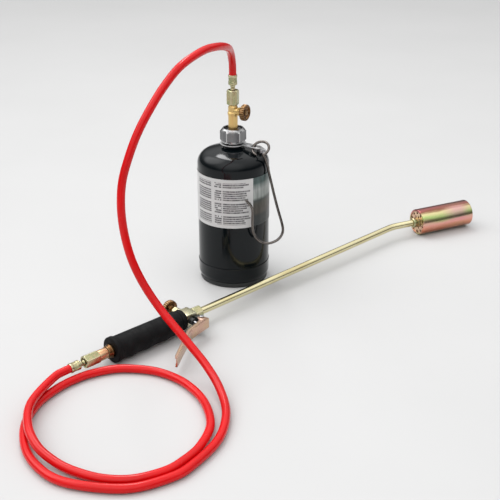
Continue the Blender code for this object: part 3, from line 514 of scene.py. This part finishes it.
def skin(rings, closed=False):
    """A closed body through rings of points. A ring of one point is a pole."""
    bm = bmesh.new()
    rows = [[bm.verts.new(point) for point in ring] for ring in rings]
    pairs = list(zip(rows, rows[1:]))
    if closed:
        pairs.append((rows[-1], rows[0]))
    for first, second in pairs:
        count = max(len(first), len(second))
        for i in range(count):
            j = (i + 1) % count
            if len(first) == 1:
                bm.faces.new((first[0], second[j], second[i]))
            elif len(second) == 1:
                bm.faces.new((first[i], first[j], second[0]))
            else:
                bm.faces.new((first[i], first[j], second[j], second[i]))
    if not closed:
        for row in (rows[0], rows[-1]):
            if len(row) > 1:
                bm.faces.new(row)
    bmesh.ops.recalc_face_normals(bm, faces=bm.faces)
    return bm


def softened(profile, size):
    """The (height, radius) profile with its corners rounded."""
    closed = all(r > 0 for _, r in profile)
    made = []
    for i, point in enumerate(profile):
        here = Vector(point)
        back = Vector(profile[i - 1]) - here
        ahead = Vector(profile[(i + 1) % len(profile)]) - here
        at_end = not closed and i in (0, len(profile) - 1)
        if at_end or back.angle(ahead) > radians(165):
            made.append(point)
            continue
        cut = min(size, back.length * 0.45, ahead.length * 0.45)
        start = here + back.normalized() * cut
        end = here + ahead.normalized() * cut
        for t in (0, 1 / 3, 2 / 3, 1):
            made.append(tuple(start * (1 - t) ** 2 + here * 2 * t * (1 - t) + end * t ** 2))
    return made


def turned(profile, sides=96, shape=None, soft=0.25):
    """Turns a profile about Z. Without a point on the axis it is a ring with a bore."""
    rings = []
    for z, r in softened(profile, soft) if soft else profile:
        if r <= 0:
            rings.append([Vector((0, 0, z))])
            continue
        ring = []
        for i in range(sides):
            angle = 2 * pi * i / sides
            reach = shape(angle, r, z) if shape else r
            ring.append(Vector((reach * cos(angle), reach * sin(angle), z)))
        rings.append(ring)
    return skin(rings, closed=all(len(ring) > 1 for ring in rings))


def rod(low, high, r, sides=64, soft=0.0):
    return turned([(low, 0), (low, r), (high, r), (high, 0)], sides, soft=soft)


def hexagon(flats):
    """A shape that limits radii to a hexagon with its flats that far apart."""
    def limit(angle, r, _):
        from_flat = (angle + pi / 6) % (pi / 3) - pi / 6
        return min(r, flats / 2 / cos(from_flat))
    return limit


def hex_nut(flats, low, high, chamfer, bore):
    """A nut's profile: the chamfers are cut in several steps so that their edge curves."""
    corner = flats / sqrt(3) - 0.12
    face = flats / 2 * 0.94
    outside = [(low + chamfer * t, face + (corner - face) * t) for t in (0, 0.25, 0.5, 0.75, 1)]
    outside += [(high + low - z, r) for z, r in outside[::-1]]
    return outside + [(high, bore), (low, bore)]


def thread(start, count, pitch, rise, valley, crest):
    """Profile points of the rings that stand for a thread."""
    made = []
    for i in range(count):
        z = start + i * pitch
        made += [(z, valley), (z + rise, crest)]
    return made


def points_on_curve(points, step):
    """Points about a step apart on a smooth curve through the given ones."""
    points = [Vector(point) for point in points]
    ends = [points[0] * 2 - points[1]] + points + [points[-1] * 2 - points[-2]]
    fine = []
    for a, b, c, d in zip(ends, ends[1:], ends[2:], ends[3:]):
        for i in range(16):
            t = i / 16
            fine.append(0.5 * (2 * b + (c - a) * t + (2 * a - 5 * b + 4 * c - d) * t * t
                               + (3 * b - a - 3 * c + d) * t ** 3))
    fine.append(points[-1])
    lengths = [0.0]
    for a, b in zip(fine, fine[1:]):
        lengths.append(lengths[-1] + (b - a).length)
    count = round(lengths[-1] / step)
    made = []
    at = 0
    for i in range(count + 1):
        wanted = lengths[-1] * i / count
        while at < len(fine) - 2 and lengths[at + 1] < wanted:
            at += 1
        part = (wanted - lengths[at]) / (lengths[at + 1] - lengths[at])
        made.append(fine[at].lerp(fine[at + 1], part))
    return made


def swept(points, radii, sides=24, bore=0.0):
    """A round bar along the points, or a tube if it has a bore. One radius, or one for each point."""
    points = [Vector(point) for point in points]
    if not isinstance(radii, list):
        radii = [radii] * len(points)
    last = len(points) - 1
    ways = [(points[min(i + 1, last)] - points[max(i - 1, 0)]).normalized() for i in range(last + 1)]
    side = ways[0].orthogonal().normalized()
    outer = []
    inner = []
    for point, way, r in zip(points, ways, radii):
        side = (side - way * side.dot(way)).normalized()
        up = way.cross(side)
        spokes = [side * cos(2 * pi * i / sides) + up * sin(2 * pi * i / sides) for i in range(sides)]
        outer.append([point + spoke * r for spoke in spokes])
        inner.append([point + spoke * bore for spoke in spokes])
    if bore:
        return skin(outer + inner[::-1], closed=True)
    return skin(outer)


def plate(outline, low, high):
    return skin([[Vector((x, y, z)) for x, y in outline] for z in (low, high)])


def arc(centre, r, start, end, steps):
    made = []
    for i in range(steps + 1):
        angle = radians(start + (end - start) * i / steps)
        made.append((centre[0] + r * cos(angle), centre[1] + r * sin(angle)))
    return made


def in_metres(bm):
    bmesh.ops.scale(bm, vec=(MM, MM, MM), verts=bm.verts)
    mesh = bpy.data.meshes.new("shape")
    bm.to_mesh(mesh)
    bm.free()
    return mesh


def dress(obj, look):
    """Gives a mesh object its look's material."""
    material, slot = LOOKS[look]
    obj.data.materials.clear()
    obj.data.materials.append(material)


def piece(node_name, bm, place, look, body=ROOT, sharp=32.0, bevel=0.0, joined=(), cut=()):
    """A fine mesh that stands for a CAD node. joined and cut are (shape, place) pairs."""
    obj = added(node_name + "_fine", in_metres(bm))
    obj.matrix_world = place
    helpers = []
    for operation, shapes in (("UNION", joined), ("DIFFERENCE", cut)):
        for shape, shape_place in shapes:
            helper = added("helper", in_metres(shape))
            helper.matrix_world = shape_place
            helpers.append(helper)
            step = obj.modifiers.new("join", "BOOLEAN")
            step.operation = operation
            step.solver = "EXACT"
            step.object = helper
    if bevel:
        step = obj.modifiers.new("edges", "BEVEL")
        step.width = bevel * MM
        step.segments = 2
        step.limit_method = "ANGLE"
        step.angle_limit = radians(28)
        step.use_clamp_overlap = True
    if obj.modifiers:
        bpy.context.view_layer.update()
        graph = bpy.context.evaluated_depsgraph_get()
        obj.data = bpy.data.meshes.new_from_object(obj.evaluated_get(graph))
        obj.modifiers.clear()
    for helper in helpers:
        bpy.data.objects.remove(helper)
    obj.data.shade_smooth()
    obj.data.set_sharp_from_angle(angle=radians(sharp))
    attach(obj, body)
    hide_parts(node_name)
    dress(obj, look)
    return obj


# ---------------- hose

HOSE_R = 5.0
HOSE_START = 29.8
HOSE_STRAIGHT = 13.0
HOSE_THREAD = (1.45, 0.7, 5.1, 5.6)


def hose(ferrules):
    """The hose: the same route as the CAD's, in millimetres in the row frame."""
    top_at = TOP_NUT @ (Vector((0, 0, HOSE_START)) * MM) / MM
    torch_at = TORCH_NUT @ (Vector((0, 0, HOSE_START)) * MM) / MM
    torch_way = TORCH_NUT.to_3x3() @ UP
    route = [top_at + UP * HOSE_STRAIGHT]
    route += [(-39, 50, 308), (-53, 39, 327), (-75, 23, 338), (-104, 9, 345), (-135, 0, 346),
              (-175, -7, 336), (-203, -10, 318), (-226, -12, 297), (-245, -11, 272),
              (-259, -10, 246), (-270, -9, 217), (-276, -12, 187), (-277, -17, 156),
              (-276, -27, 126), (-272, -41, 99), (-266, -59, 74), (-261, -81, 54),
              (-258, -108, 36), (-261, -141, 22), (-272, -175, 11.5), (-296, -211, 6.5),
              (-335, -240, 5.2), (-385, -254, 5.2), (-411, -254, 5.2), (-446, -242, 5.2),
              (-470, -220, 5.2), (-492, -185, 5.2), (-497, -153, 5.2), (-489, -114, 5.2),
              (-465, -74, 5.2), (-432, -48, 5.2), (-401, -37, 5.2), (-374, -34, 5.2),
              (-350, -37, 5.2), (-321, -50, 5.2), (-297, -78, 5.2), (-287, -106, 5.2),
              (-286, -137, 5.2), (-296, -175, 5.2), (-321, -213, 5.2), (-356, -235, 5.2),
              (-386, -242, 5.2), (-409, -242, 5.2), (-440, -230, 5.2), (-462, -208, 5.6),
              (-476, -178, 6.6), (-482, -154, 9), (-483, -126, 13.5), (-471, -91, 16.4),
              (-444, -56, 16.4)]
    route += [torch_at + torch_way * 34 + Vector((0, -3, 0)), torch_at + torch_way * HOSE_STRAIGHT]
    points = [top_at] + points_on_curve(route, 6.0) + [torch_at]
    curve = bpy.data.curves.new("hose_fine", "CURVE")
    curve.dimensions = "3D"
    curve.bevel_depth = HOSE_R * MM
    curve.bevel_resolution = 8
    curve.use_fill_caps = True
    spline = curve.splines.new("POLY")
    spline.points.add(len(points) - 1)
    for target, point in zip(spline.points, points):
        target.co = (*(point * MM), 1.0)
    spline.use_smooth = True
    obj = added("hose_fine", curve)
    material, slot = LOOKS["hose_rubber"]
    curve.materials.append(material)
    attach(obj, ROOT)
    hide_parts("hose")


def ferrule_shape(angle, r, z):
    """Crimped between 31.5 and 37: eight flats pressed in."""
    depth = max(0.0, min(1.0, (z - 31.2) / 0.8, (37.4 - z) / 0.8))
    return r - depth * 0.35 * abs(cos(4 * angle)) if r > 5.5 else r


def hose_end(suffix, place):
    nut = hex_nut(15.0, 0, 20, 1.3, 5.9)
    nut[-2:] = [(20, 5.7), (17.9, 5.6), (17.5, 3.7), (16.4, 3.7), (16.4, 5.9), (0, 5.9)]
    piece("hose_nut_" + suffix, turned(nut, 120, hexagon(15.0), soft=0.12), place, "fitting_zinc")
    stem = [(12.9, 5.4), (16.1, 5.4), (16.1, 3.4), (20.6, 3.4), (21.4, 2.9), (23.2, 2.9), (24.2, 3.4),
            (29.5, 3.4), (29.5, 1.6), (12.9, 1.6)]
    piece("hose_stem_" + suffix, turned(stem, 64), place, "fitting_zinc")
    ferrule = [(26.8, 3.7), (26.8, 5.3), (27.6, 6.05), (28.6, 6.05), (29.0, 5.8), (29.4, 6.05), (31.0, 6.05)]
    ferrule += [(31.0 + 6.4 * i / 8, 5.95 - 0.12 * (i % 2)) for i in range(1, 8)]
    ferrule += [(37.6, 6.05), (39.6, 6.05), (40.2, 5.7), (40.2, 5.3), (29.6, 5.3), (28.6, 3.7)]
    return piece("ferrule_" + suffix, turned(ferrule, 96, ferrule_shape, soft=0.12), place, "fitting_zinc")


# ---------------- cylinder

CYLINDER_R = 49.2
SHOULDER_Z = 169.0
CORNER_R = 18.0
CORNER_END = 72.0
CROWN_R = 14.2
CROWN_SLOPE = 0.325
CROWN_BEND = 0.00383
NECK_R = 12.6
LABEL_Z = (90.8, 160.4)
LABEL_VIEW = 133.1
LABEL_ROWS = 23.0


def shoulder(inset, steps):
    """(height, radius) points over the rounded corner and the low crown, moved in by an inset."""
    crown_steps = 12
    made = []
    for i in range(steps + 1):
        angle = radians(CORNER_END * i / steps)
        made.append((SHOULDER_Z + (CORNER_R - inset) * sin(angle),
                     CYLINDER_R - CORNER_R + (CORNER_R - inset) * cos(angle)))
    start_z = SHOULDER_Z + CORNER_R * sin(radians(CORNER_END))
    start_r = CYLINDER_R - CORNER_R + CORNER_R * cos(radians(CORNER_END))
    for i in range(crown_steps):
        inward = (start_r - CROWN_R) * (i + 1) / crown_steps
        made.append((start_z - inset + CROWN_SLOPE * inward - CROWN_BEND * inward ** 2, start_r - inward))
    return made


def cylinder():
    bottom, wall = 29.2, 1.5
    outside = [(bottom, CYLINDER_R)] + shoulder(0.0, 24)
    top = outside[-1][0]
    inside = shoulder(wall, 10)[::-1] + [(bottom, CYLINDER_R - wall)]
    collar = [(top + 0.5, NECK_R + 1.2), (top + 0.9, NECK_R + 0.8), (top + 0.9, NECK_R + 0.3),
              (inside[0][0], NECK_R + 0.3)]
    piece("cylinder_shell", turned(outside + collar + inside, 192, soft=0.0), CYLINDER, "cylinder_paint")
    cup = [(28.7, 49.75), (27.2, 49.8), (26.0, 49.5), (13, 49.5), (10.5, 49.1), (8.2, 48.2), (6.5, 46.9),
           (6.5, 43), (10.5, 26), (12.5, 0)]
    over = [(14.0, 0), (12, 26), (8, 43), (13, 48), (28.7, 48)]
    piece("cylinder_base_cup", turned(over + cup, 192, soft=0.3), CYLINDER, "cylinder_paint")
    foot = [(0, 44.5), (0, 46.6), (0.6, 47), (6.2, 47), (6.2, 44.5)]
    piece("foot_ring", turned(foot, 160, soft=0.15), CYLINDER, "foot_paint")
    boss = [(178, 0), (178, NECK_R), (197, NECK_R)]
    boss += thread(198, 7, 1.27, 0.64, NECK_R - 0.6, NECK_R)
    boss += [(207, NECK_R - 1), (207, 4.3), (185, 4.3), (185, 0)]
    piece("neck_boss", turned(boss, 96, soft=0.1), CYLINDER, "cylinder_paint")
    label = [(LABEL_Z[0], 49.5), (LABEL_Z[0], 49.75), (LABEL_Z[1], 49.75), (LABEL_Z[1], 49.5)]
    piece("label_sleeve", turned(label, 192, soft=0.0), CYLINDER, "label_print")


def relief_valve():
    """The safety valve: a turned cap square to the slope of the shoulder."""
    out, gap = 38.0, 0.45
    low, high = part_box("relief_valve")
    middle = (low + high) / 2 - CYLINDER.translation
    way = Vector((middle.x, middle.y, 0)).normalized()
    corner = acos((out - CYLINDER_R + CORNER_R) / CORNER_R)
    slope = way * cos(corner) + UP * sin(corner)
    foot = way * out + UP * (SHOULDER_Z + CORNER_R * sin(corner)) + slope * gap
    cap = [(0, 0), (0, 5.0), (0.8, 5.0), (1.2, 5.6), (1.6, 6.0), (4.6, 6.0), (5.1, 5.7), (5.5, 5.2),
           (5.5, 4.0), (5.0, 3.6), (5.0, 2.2), (4.4, 2.0), (4.4, 0)]
    piece("relief_valve", turned(cap, 96, soft=0.1), CYLINDER @ moved(*foot) @ along(slope), "plain_steel")


def knob_set(prefix, place, body, out, spindle_in):
    """A fluted knob with a dished face, its spindle and its screw."""
    r = 11.0
    thick = 9.0
    face = thick - 2.5

    def flutes(angle, reach, _):
        if reach < r - 0.8:
            return reach
        return reach - 0.5 * (0.5 + 0.5 * cos(angle * 24)) ** 2

    knob = [(0, 2.6), (0, 5.0), (1.2, 5.4), (2.0, 7.4), (2.1, r - 1.2), (2.8, r - 0.1), (3.4, r),
            (thick - 1.4, r), (thick - 0.5, r - 0.4), (thick, r - 1.3), (thick, r - 2.0),
            (thick - 0.6, r - 2.9), (face + 0.4, r - 4.2), (face, r - 5.6), (face, 2.6)]
    lifted = place @ moved(0, 0, out)
    piece(prefix + "_knob", turned(knob, 144, flutes, soft=0.25), lifted, "knob_brass", body, sharp=40)
    spindle = [(spindle_in, 0), (spindle_in + 2.5, 1.9), (spindle_in + 2.5, 2.3), (out + face - 0.4, 2.3),
               (out + face - 0.4, 1.5), (out + 1, 1.5), (out + 1, 0)]
    piece(prefix + "_spindle", turned(spindle, 40, soft=0.1), place, "brass", body)
    head = out + face
    screw = [(out + 1.4, 0), (out + 1.4, 1.2), (head + 0.3, 1.2), (head + 0.3, 4.0), (head + 1.3, 4.0),
             (head + 1.9, 3.4), (head + 2.2, 2.2), (head + 2.2, 0)]
    slot = plate([(-5, -0.4), (5, -0.4), (5, 0.4), (-5, 0.4)], head + 1.3, head + 3)
    piece(prefix + "_knob_screw", turned(screw, 64, soft=0.15), place, "knob_brass", body,
          cut=[(slot, place)])


def small_nut(name, place, low, high, look):
    nut = hex_nut(11.0, low, high, 0.7, 2.6)
    piece(name, turned(nut, 96, hexagon(11.0), soft=0.1), place, look)


def cylinder_valve():
    low, high = 197.3, 218.0
    nut = [(low, 12.9), (low, 13.9), (low + 1.7, 15.5), (low + 4.4, 17.9), (high - 4.4, 17.9),
           (high - 1.7, 15.5), (high, 13.9), (high, 12.6), (high - 3.2, 12.5), (high - 3.2, 8.0),
           (high - 5.2, 8.0), (high - 5.2, 12.9)]
    turn = Matrix.Rotation(radians(-13.0), 4, "Z")
    piece("cylinder_nut", turned(nut, 180, hexagon(31.0), soft=0.2), CYLINDER @ turn, "nut_steel")
    body = [(209.8, 0), (209.8, 12.2), (212.5, 12.2), (212.5, 6.4), (226, 6.3), (235.4, 6.4),
            (236.0, 7.2), (239.4, 7.2), (240.0, 6.4), (246.6, 6.4), (248.4, 5.6)]
    body += thread(249.2, 9, *HOSE_THREAD)
    body += [(262.5, 5.2), (262.5, 0)]
    boss = turned([(1, 0), (1, 5.4), (8.2, 5.4), (9, 4.9), (9, 0)], 64)
    piece("valve_body", turned(body, 96, soft=0.12), CYLINDER, "brass", joined=[(boss, VALVE)],
          cut=[(rod(5, 12, 2.6, 32), VALVE), (rod(205, 232, 2.4, 32), CYLINDER)])
    small_nut("valve_gland_nut", VALVE, 9.3, 11.9, "brass")
    knob_set("valve", VALVE, "valve_control", 12.5, 0.0)


# ---------------- ear and hook

EAR_AZIMUTH = -70.0
EAR_Z = 195.6
EAR_THICK = 1.3
EAR_DROP = 0.055
EAR_HOLE_OUT = 30.6
EAR_END_OUT = 36.5
EAR_END_R = 6.0
EAR_OUT = Vector((cos(radians(EAR_AZIMUTH)), sin(radians(EAR_AZIMUTH)), 0))
EAR_ACROSS = Vector((EAR_OUT.y, -EAR_OUT.x, 0))
HOOK_R = 1.8
HOOK_EYE_R = 11.2
HOOK_LEAN = 52.0
HOOK_EYE_AT_HOLE = 4.0


def ear_point(reach):
    return EAR_OUT * reach + UP * (EAR_Z + EAR_THICK / 2 - EAR_DROP * max(0.0, reach - 17.0))


def hanging_ear():
    """A pressed ring with a round-ended tongue that has a hole."""
    stations = [(14.6, 4.6), (18.0, 4.8), (21.0, 5.3), (24.0, 5.8), (30.0, 6.0)]
    for i in range(15):
        angle = radians(5 + 80 * i / 14)
        stations.append((EAR_END_OUT + EAR_END_R * sin(angle), EAR_END_R * cos(angle)))
    sections = []
    for reach, half in stations:
        middle = ear_point(reach)
        thick = UP * EAR_THICK / 2
        wide = EAR_ACROSS * half
        sections.append([middle - wide - thick, middle + wide - thick, middle + wide + thick,
                         middle - wide + thick])
    top = EAR_Z + EAR_THICK
    ring = turned([(EAR_Z, 13.3), (EAR_Z, 17.6), (top, 17.6), (top, 13.3)], 96, soft=0)
    hole = CYLINDER @ moved(*ear_point(EAR_HOLE_OUT))
    piece("ring_bracket", ring, CYLINDER, "plain_steel", joined=[(skin(sections), CYLINDER)],
          cut=[(rod(-8, 8, 4.0, 48), hole)], bevel=0.22)


def carry_hook():
    """A bent wire: a round eye through the ear's hole, a long leg, and a wide bend with a turned-out tip."""
    reach = (EAR_OUT - UP * EAR_DROP).normalized()
    lift = UP * cos(radians(HOOK_LEAN)) - EAR_ACROSS * sin(radians(HOOK_LEAN))
    lift = (lift - reach * lift.dot(reach)).normalized()
    at_hole = radians(HOOK_EYE_AT_HOLE)
    middle = ear_point(EAR_HOLE_OUT) + (reach * cos(at_hole) - lift * sin(at_hole)) * HOOK_EYE_R
    eye = []
    for i in range(25):
        angle = radians(-80 + 312 * i / 24)
        eye.append(middle - reach * HOOK_EYE_R * cos(angle) + lift * HOOK_EYE_R * sin(angle))
    leg = [(13.2, -48.3, 182.8), (17.0, -49.4, 171.0), (20.3, -49.6, 158.0), (20.0, -63.4, 121.0),
           (21.0, -72.6, 96.6), (21.4, -75.4, 86.0), (19.6, -75.6, 79.0), (15.6, -74.0, 73.2),
           (9.4, -71.0, 69.3), (1.2, -66.4, 67.8), (-6.8, -61.4, 71.0), (-13.2, -57.4, 78.6),
           (-16.4, -55.3, 89.0), (-17.2, -55.2, 103.0), (-17.2, -55.4, 116.0), (-18.6, -54.4, 124.0),
           (-22.0, -51.6, 130.0), (-24.6, -49.6, 133.4)]
    path = points_on_curve([point - middle for point in eye + [Vector(point) for point in leg]], 1.4)
    radii = [HOOK_R] * len(path)
    for i, share in enumerate((0.45, 0.86)):
        radii[i] = HOOK_R * share
        radii[-1 - i] = HOOK_R * share
    piece("carry_hook", swept(path, radii, 20), HOOK, "wire_steel", "hook", sharp=60)


# ---------------- torch

GRIP_LENGTH = 111.0
GRIP_BORE = 6.3
SEAM_HEIGHT = 0.16


def grip_radius(x, rear, front):
    """Radius and finger swell of the grip at a place along it."""
    ends = [(rear, 15.7), (rear + 0.8, 16.4), (rear + 5.4, 16.5), (rear + 6.6, 15.6), (rear + 10, 15.2),
            (front - 10, 14.35), (front - 8.6, 12.4), (front - 7.0, 12.2), (front - 6.2, 13.4),
            (front - 1.0, 13.6), (front, 12.8)]
    for (x0, r0), (x1, r1) in zip(ends, ends[1:]):
        if x <= x1:
            break
    part = (x - x0) / (x1 - x0)
    lobe = 2.6 * (0.62 + 0.38 * cos(2 * pi * (x - rear - 20) / 27.0))
    fade = max(0.0, min(1.0, (x - rear - 10) / 12, (front - 10 - x) / 14))
    return r0 + (r1 - r0) * part, lobe * fade * fade * (3 - 2 * fade)


def grip():
    """The moulded grip: rings along X that follow its outline, with a moulding seam along both sides."""
    front = BLOCK_X[0] - 0.3
    rear = front - GRIP_LENGTH
    places = [rear, rear + 0.3, rear + 0.8, rear + 5.0, rear + 5.6, rear + 6.2, rear + 6.6, rear + 7.4]
    places += [rear + 10 + 91.0 * i / 60 for i in range(61)]
    places += [front - 9.6, front - 9.0, front - 8.6, front - 7.2, front - 6.8, front - 6.4, front - 6.0,
               front - 5.2, front - 1.6, front - 1.0, front - 0.4, front]
    rings = []
    for x in places:
        r, swell = grip_radius(x, rear, front)
        ring = []
        for i in range(96):
            angle = 2 * pi * i / 96
            full = r + swell * max(0.0, -cos(angle)) ** 1.6
            full += SEAM_HEIGHT * max(0.0, 1 - abs(sin(angle)) * 45) * (swell > 0 or x < rear + 10)
            ring.append(Vector((x, full * cos(angle), full * sin(angle))))
        rings.append(ring)
    bore = [[Vector((x, GRIP_BORE * cos(2 * pi * i / 96), GRIP_BORE * sin(2 * pi * i / 96)))
             for i in range(96)] for x in (front, rear)]
    piece("grip", skin(rings + bore, closed=True), WAND, "grip_plastic", sharp=38)
    return rear


def inlet(rear):
    """The collar behind the grip and the threaded nipple, measured rearwards."""
    start = -rear
    collar = [(start + 0.3, 6.3), (start + 0.3, 8.8), (start + 3.2, 8.8), (start + 4.2, 8.0),
              (start + 7.6, 7.7), (start + 7.6, 6.3)]
    piece("rear_collar", turned(collar, 96, soft=0.3), TO_REAR, "knob_brass")
    start += 8.3
    end = start + 24.5
    nipple = [(start, 2.5), (start, 6.9), (end - 13.6, 6.9), (end - 12.9, 6.4), (end - 12.9, 5.2)]
    nipple += thread(end - 12.4, 8, *HOSE_THREAD)
    nipple += [(end, 4.9), (end, 2.5)]
    piece("inlet_nipple", turned(nipple, 80, soft=0.12), TO_REAR, "copper_brass")


def valve_block():
    half_y, half_z = 10.0, 9.0
    outline = [(BLOCK_X[0], -half_y), (BLOCK_X[1], -half_y), (BLOCK_X[1], half_y), (BLOCK_X[0], half_y)]
    body = plate(outline, -half_z, half_z)
    bmesh.ops.bevel(body, geom=list(body.edges), offset=1.8, segments=5, affect="EDGES", profile=0.5)
    front = BLOCK_X[1]
    rear = -BLOCK_X[0]
    spigot = turned([(front - 3, 0), (front - 3, 5.8), (front + 9, 5.8), (front + 9, 0)], 64, soft=0)
    boss = turned([(7, 0), (7, 6.0), (16.2, 6.0), (17, 5.4), (17, 0)], 64, soft=0)
    step = turned([(front - 2, 0), (front - 2, 8.2), (front, 8.2), (front, 0)], 64, soft=0)
    pad = turned([(7, 0), (7, 7.6), (11.2, 7.6), (12.0, 6.9), (12.0, 0)], 64, soft=0)
    piece("torch_valve_body", body, WAND, "fitting_zinc",
          joined=[(spigot, TO_FRONT), (rod(rear - 3, rear + 11.7, 4.0, 48), TO_REAR), (boss, FLOW),
                  (step, TO_FRONT), (pad, FLOW)],
          cut=[(rod(5, 20, 2.6, 32), FLOW), (rod(-4, 15, 4.3, 40), TO_TRIGGER),
               (rod(front - 4, front + 12, 3.2, 32), TO_FRONT)], bevel=0.25)
    small_nut("flow_gland_nut", FLOW, 17.3, 24.0, "fitting_zinc")
    knob_set("flow", FLOW, "flow_control", 29.0, 5.4)


def plunger():
    tip = 30.7
    rod_profile = [(6.6, 0), (6.6, 3.9), (8.6, 3.9), (8.6, 2.0), (tip - 1.2, 2.0), (tip - 0.4, 1.6),
                   (tip, 0.9), (tip, 0)]
    piece("trigger_plunger", turned(rod_profile, 40, soft=0.15), TO_TRIGGER, "plain_steel", "plunger")
    gland = [(10.3, 2.3), (10.3, 4.0), (10.9, 4.5), (12.6, 4.5), (12.9, 4.1), (13.2, 4.5), (15.4, 4.5),
             (16.4, 3.6), (16.4, 2.3)]
    piece("plunger_gland_nut", turned(gland, 64, soft=0.12), TO_TRIGGER, "foot_paint")


def bracket():
    top = -10.3
    x, y = PIVOT
    outline = [(x - 3.8, top), (x - 3.8, y)] + arc((x, y), 3.8, 195, 345, 24) + [(x + 3.8, y), (x + 3.8, top)]
    piece("trigger_bracket", plate(outline, -4.6, 4.6), WAND, "foot_paint", bevel=0.5,
          cut=[(rod(-9, 9, 2.0, 40), WAND @ moved(x, y, 0))])
    pin = [(-8, 0), (-8, 2.2), (-7.6, 2.8), (-6.9, 2.9), (-6.8, 1.7), (6.8, 1.7), (6.9, 2.9), (7.6, 2.8),
           (8, 2.2), (8, 0)]
    piece("trigger_pivot_pin", turned(pin, 64, soft=0.15), WAND @ moved(x, y, 0), "plain_steel")


def lever():
    """A bent channel: a web with two flanges."""
    slope = radians(12.7)
    drop = 8.5 / cos(slope)
    knee_x = -20.0
    tip = (-76.0, -76.0)

    def web_y(x):
        return PIVOT[1] - drop - (PIVOT[0] - x) * tan(slope)

    stations = [(16.8, 11.0), (16.3, 12.0), (15.4, 13.0), (14.4, 13.4), (10.6, 13.4), (9.6, 12.6),
                (8.4, 10.4), (7.2, 8.6), (5.0, 7.2), (0.0, 6.4), (-10.0, 5.8), (knee_x + 5, 5.55)]
    path = [(x, web_y(x), deep) for x, deep in stations]
    knee = Vector((knee_x, web_y(knee_x)))
    end = Vector(tip)
    before = Vector((knee_x + 5, web_y(knee_x + 5)))
    after = knee + (end - knee).normalized() * 5
    for t in (0.25, 0.5, 0.75, 1.0):
        point = before * (1 - t) ** 2 + knee * 2 * t * (1 - t) + after * t ** 2
        path.append((point.x, point.y, 5.6 - 0.4 * t))
    for part in (0.35, 0.6, 0.8, 0.93, 0.98, 1.0):
        point = after.lerp(end, part)
        deep = 5.2 - 1.6 * part
        path.append((point.x, point.y, deep if part < 0.93 else deep - 14 * (part - 0.93)))
    middle = [Vector((x - PIVOT[0], y - PIVOT[1], 0)) for x, y, _ in path]
    last = len(middle) - 1
    half = 6.5
    thick = 1.5
    rings = []
    for i, (point, (_, _, deep)) in enumerate(zip(middle, path)):
        way = (middle[min(i + 1, last)] - middle[max(i - 1, 0)]).normalized()
        inward = Vector((way.y, -way.x, 0))
        inward = -inward if inward.y < 0 else inward
        section = ((-thick, -half), (-thick, half), (deep - thick, half), (deep - thick, half - thick),
                   (0, half - thick), (0, thick - half), (deep - thick, thick - half), (deep - thick, -half))
        rings.append([point + inward * n + Vector((0, 0, z)) for n, z in section])
    pivot = WAND @ moved(*PIVOT, 0)
    piece("trigger_lever", skin(rings), pivot, "lever_zinc", "trigger", sharp=35, bevel=0.35,
          cut=[(rod(-12, 12, 2.0, 40), pivot)])


def lance():
    start = BLOCK_X[1] + 0.3
    nut = hex_nut(17.0, start, 28.0, 1.2, 6.1)
    nut[-2:] = [(28.0, 5.3), (24.4, 5.3), (24.4, 6.1), (start, 6.1)]
    piece("lance_nut", turned(nut, 120, hexagon(17.0), soft=0.12), TO_FRONT, "fitting_zinc")
    straight_end = BEND_AT - BEND_R * tan(radians(BEND_ANGLE) / 2)
    path = [(24.7 + (straight_end - 24.7) * i / 24, 0, 0) for i in range(24)]
    path += [(x, y, 0) for x, y in arc((straight_end, -BEND_R), BEND_R, 90, 90 - BEND_ANGLE, 16)]
    for far in (-24, -12, 4):
        path.append(tuple(BURNER_AT + BURNER_WAY * far))
    piece("lance_tube", swept(path, 5.0, 64, 4.0), WAND, "lance_zinc")


def burner():
    r = 20.0
    wall = 1.5
    length = 91.7
    collar = [(-10, 5.3), (-10, 6.0), (-9.2, 7.2), (-8.4, 7.6), (-1.6, 7.6), (-0.3, 8.0), (-0.3, 5.3)]
    piece("burner_collar", turned(collar, 96, soft=0.3), BURNER, "fitting_zinc")
    shell = [(-0.8, r - wall - 1.6), (-0.8, r - 0.9), (-0.2, r - 0.2), (0.6, r), (length - 0.6, r),
             (length - 0.1, r - 0.3), (length, r - 0.7), (length, r - wall), (-0.3, r - wall),
             (-0.3, r - wall - 1.6)]
    piece("burner_shell", turned(shell, 160, soft=0.2), BURNER, "burner_zinc")
    holes = []
    for count, out, hole_r in ((10, 14.5, 1.9), (8, 9.4, 1.4)):
        for i in range(count):
            angle = 2 * pi * (i + 0.37) / count
            holes.append((rod(-3, 6, hole_r, 24), BURNER @ moved(out * cos(angle), out * sin(angle), 0)))
    disc = turned([(0, 5.3), (0, 18.2), (2.2, 18.2), (2.2, 5.3)], 96, soft=0.15)
    piece("burner_back_plate", disc, BURNER, "plate_zinc", cut=holes, bevel=0.15)
    jet = [(-6, 0.9), (-6, 3.6), (4.3, 3.6), (4.3, 4.4), (5.0, 5.1), (11.5, 5.1), (12.2, 4.2), (17, 2.4),
           (17, 0.9)]
    piece("gas_jet", turned(jet, 72, hexagon(9.0), soft=0.1), BURNER, "brass")


def hidden_nodes():
    """CAD nodes that lie inside others keep their shape and get a material."""
    kept = {"cylinder_valve_core": "brass", "adapter_seal": "seal_rubber", "plunger_seal": "seal_rubber",
            "plunger_spring": "plain_steel", "gas_pipe": "fitting_zinc"}
    for name, look in kept.items():
        dress(frame["nodes"][name], look)


# ---------------- the scene

camera()
lights()
floor()
LOOKS = all_looks()
hose([hose_end("top", TOP_NUT), hose_end("torch", TORCH_NUT)])
cylinder()
relief_valve()
cylinder_valve()
hanging_ear()
carry_hook()
inlet(grip())
valve_block()
plunger()
bracket()
lever()
lance()
burner()
hidden_nodes()
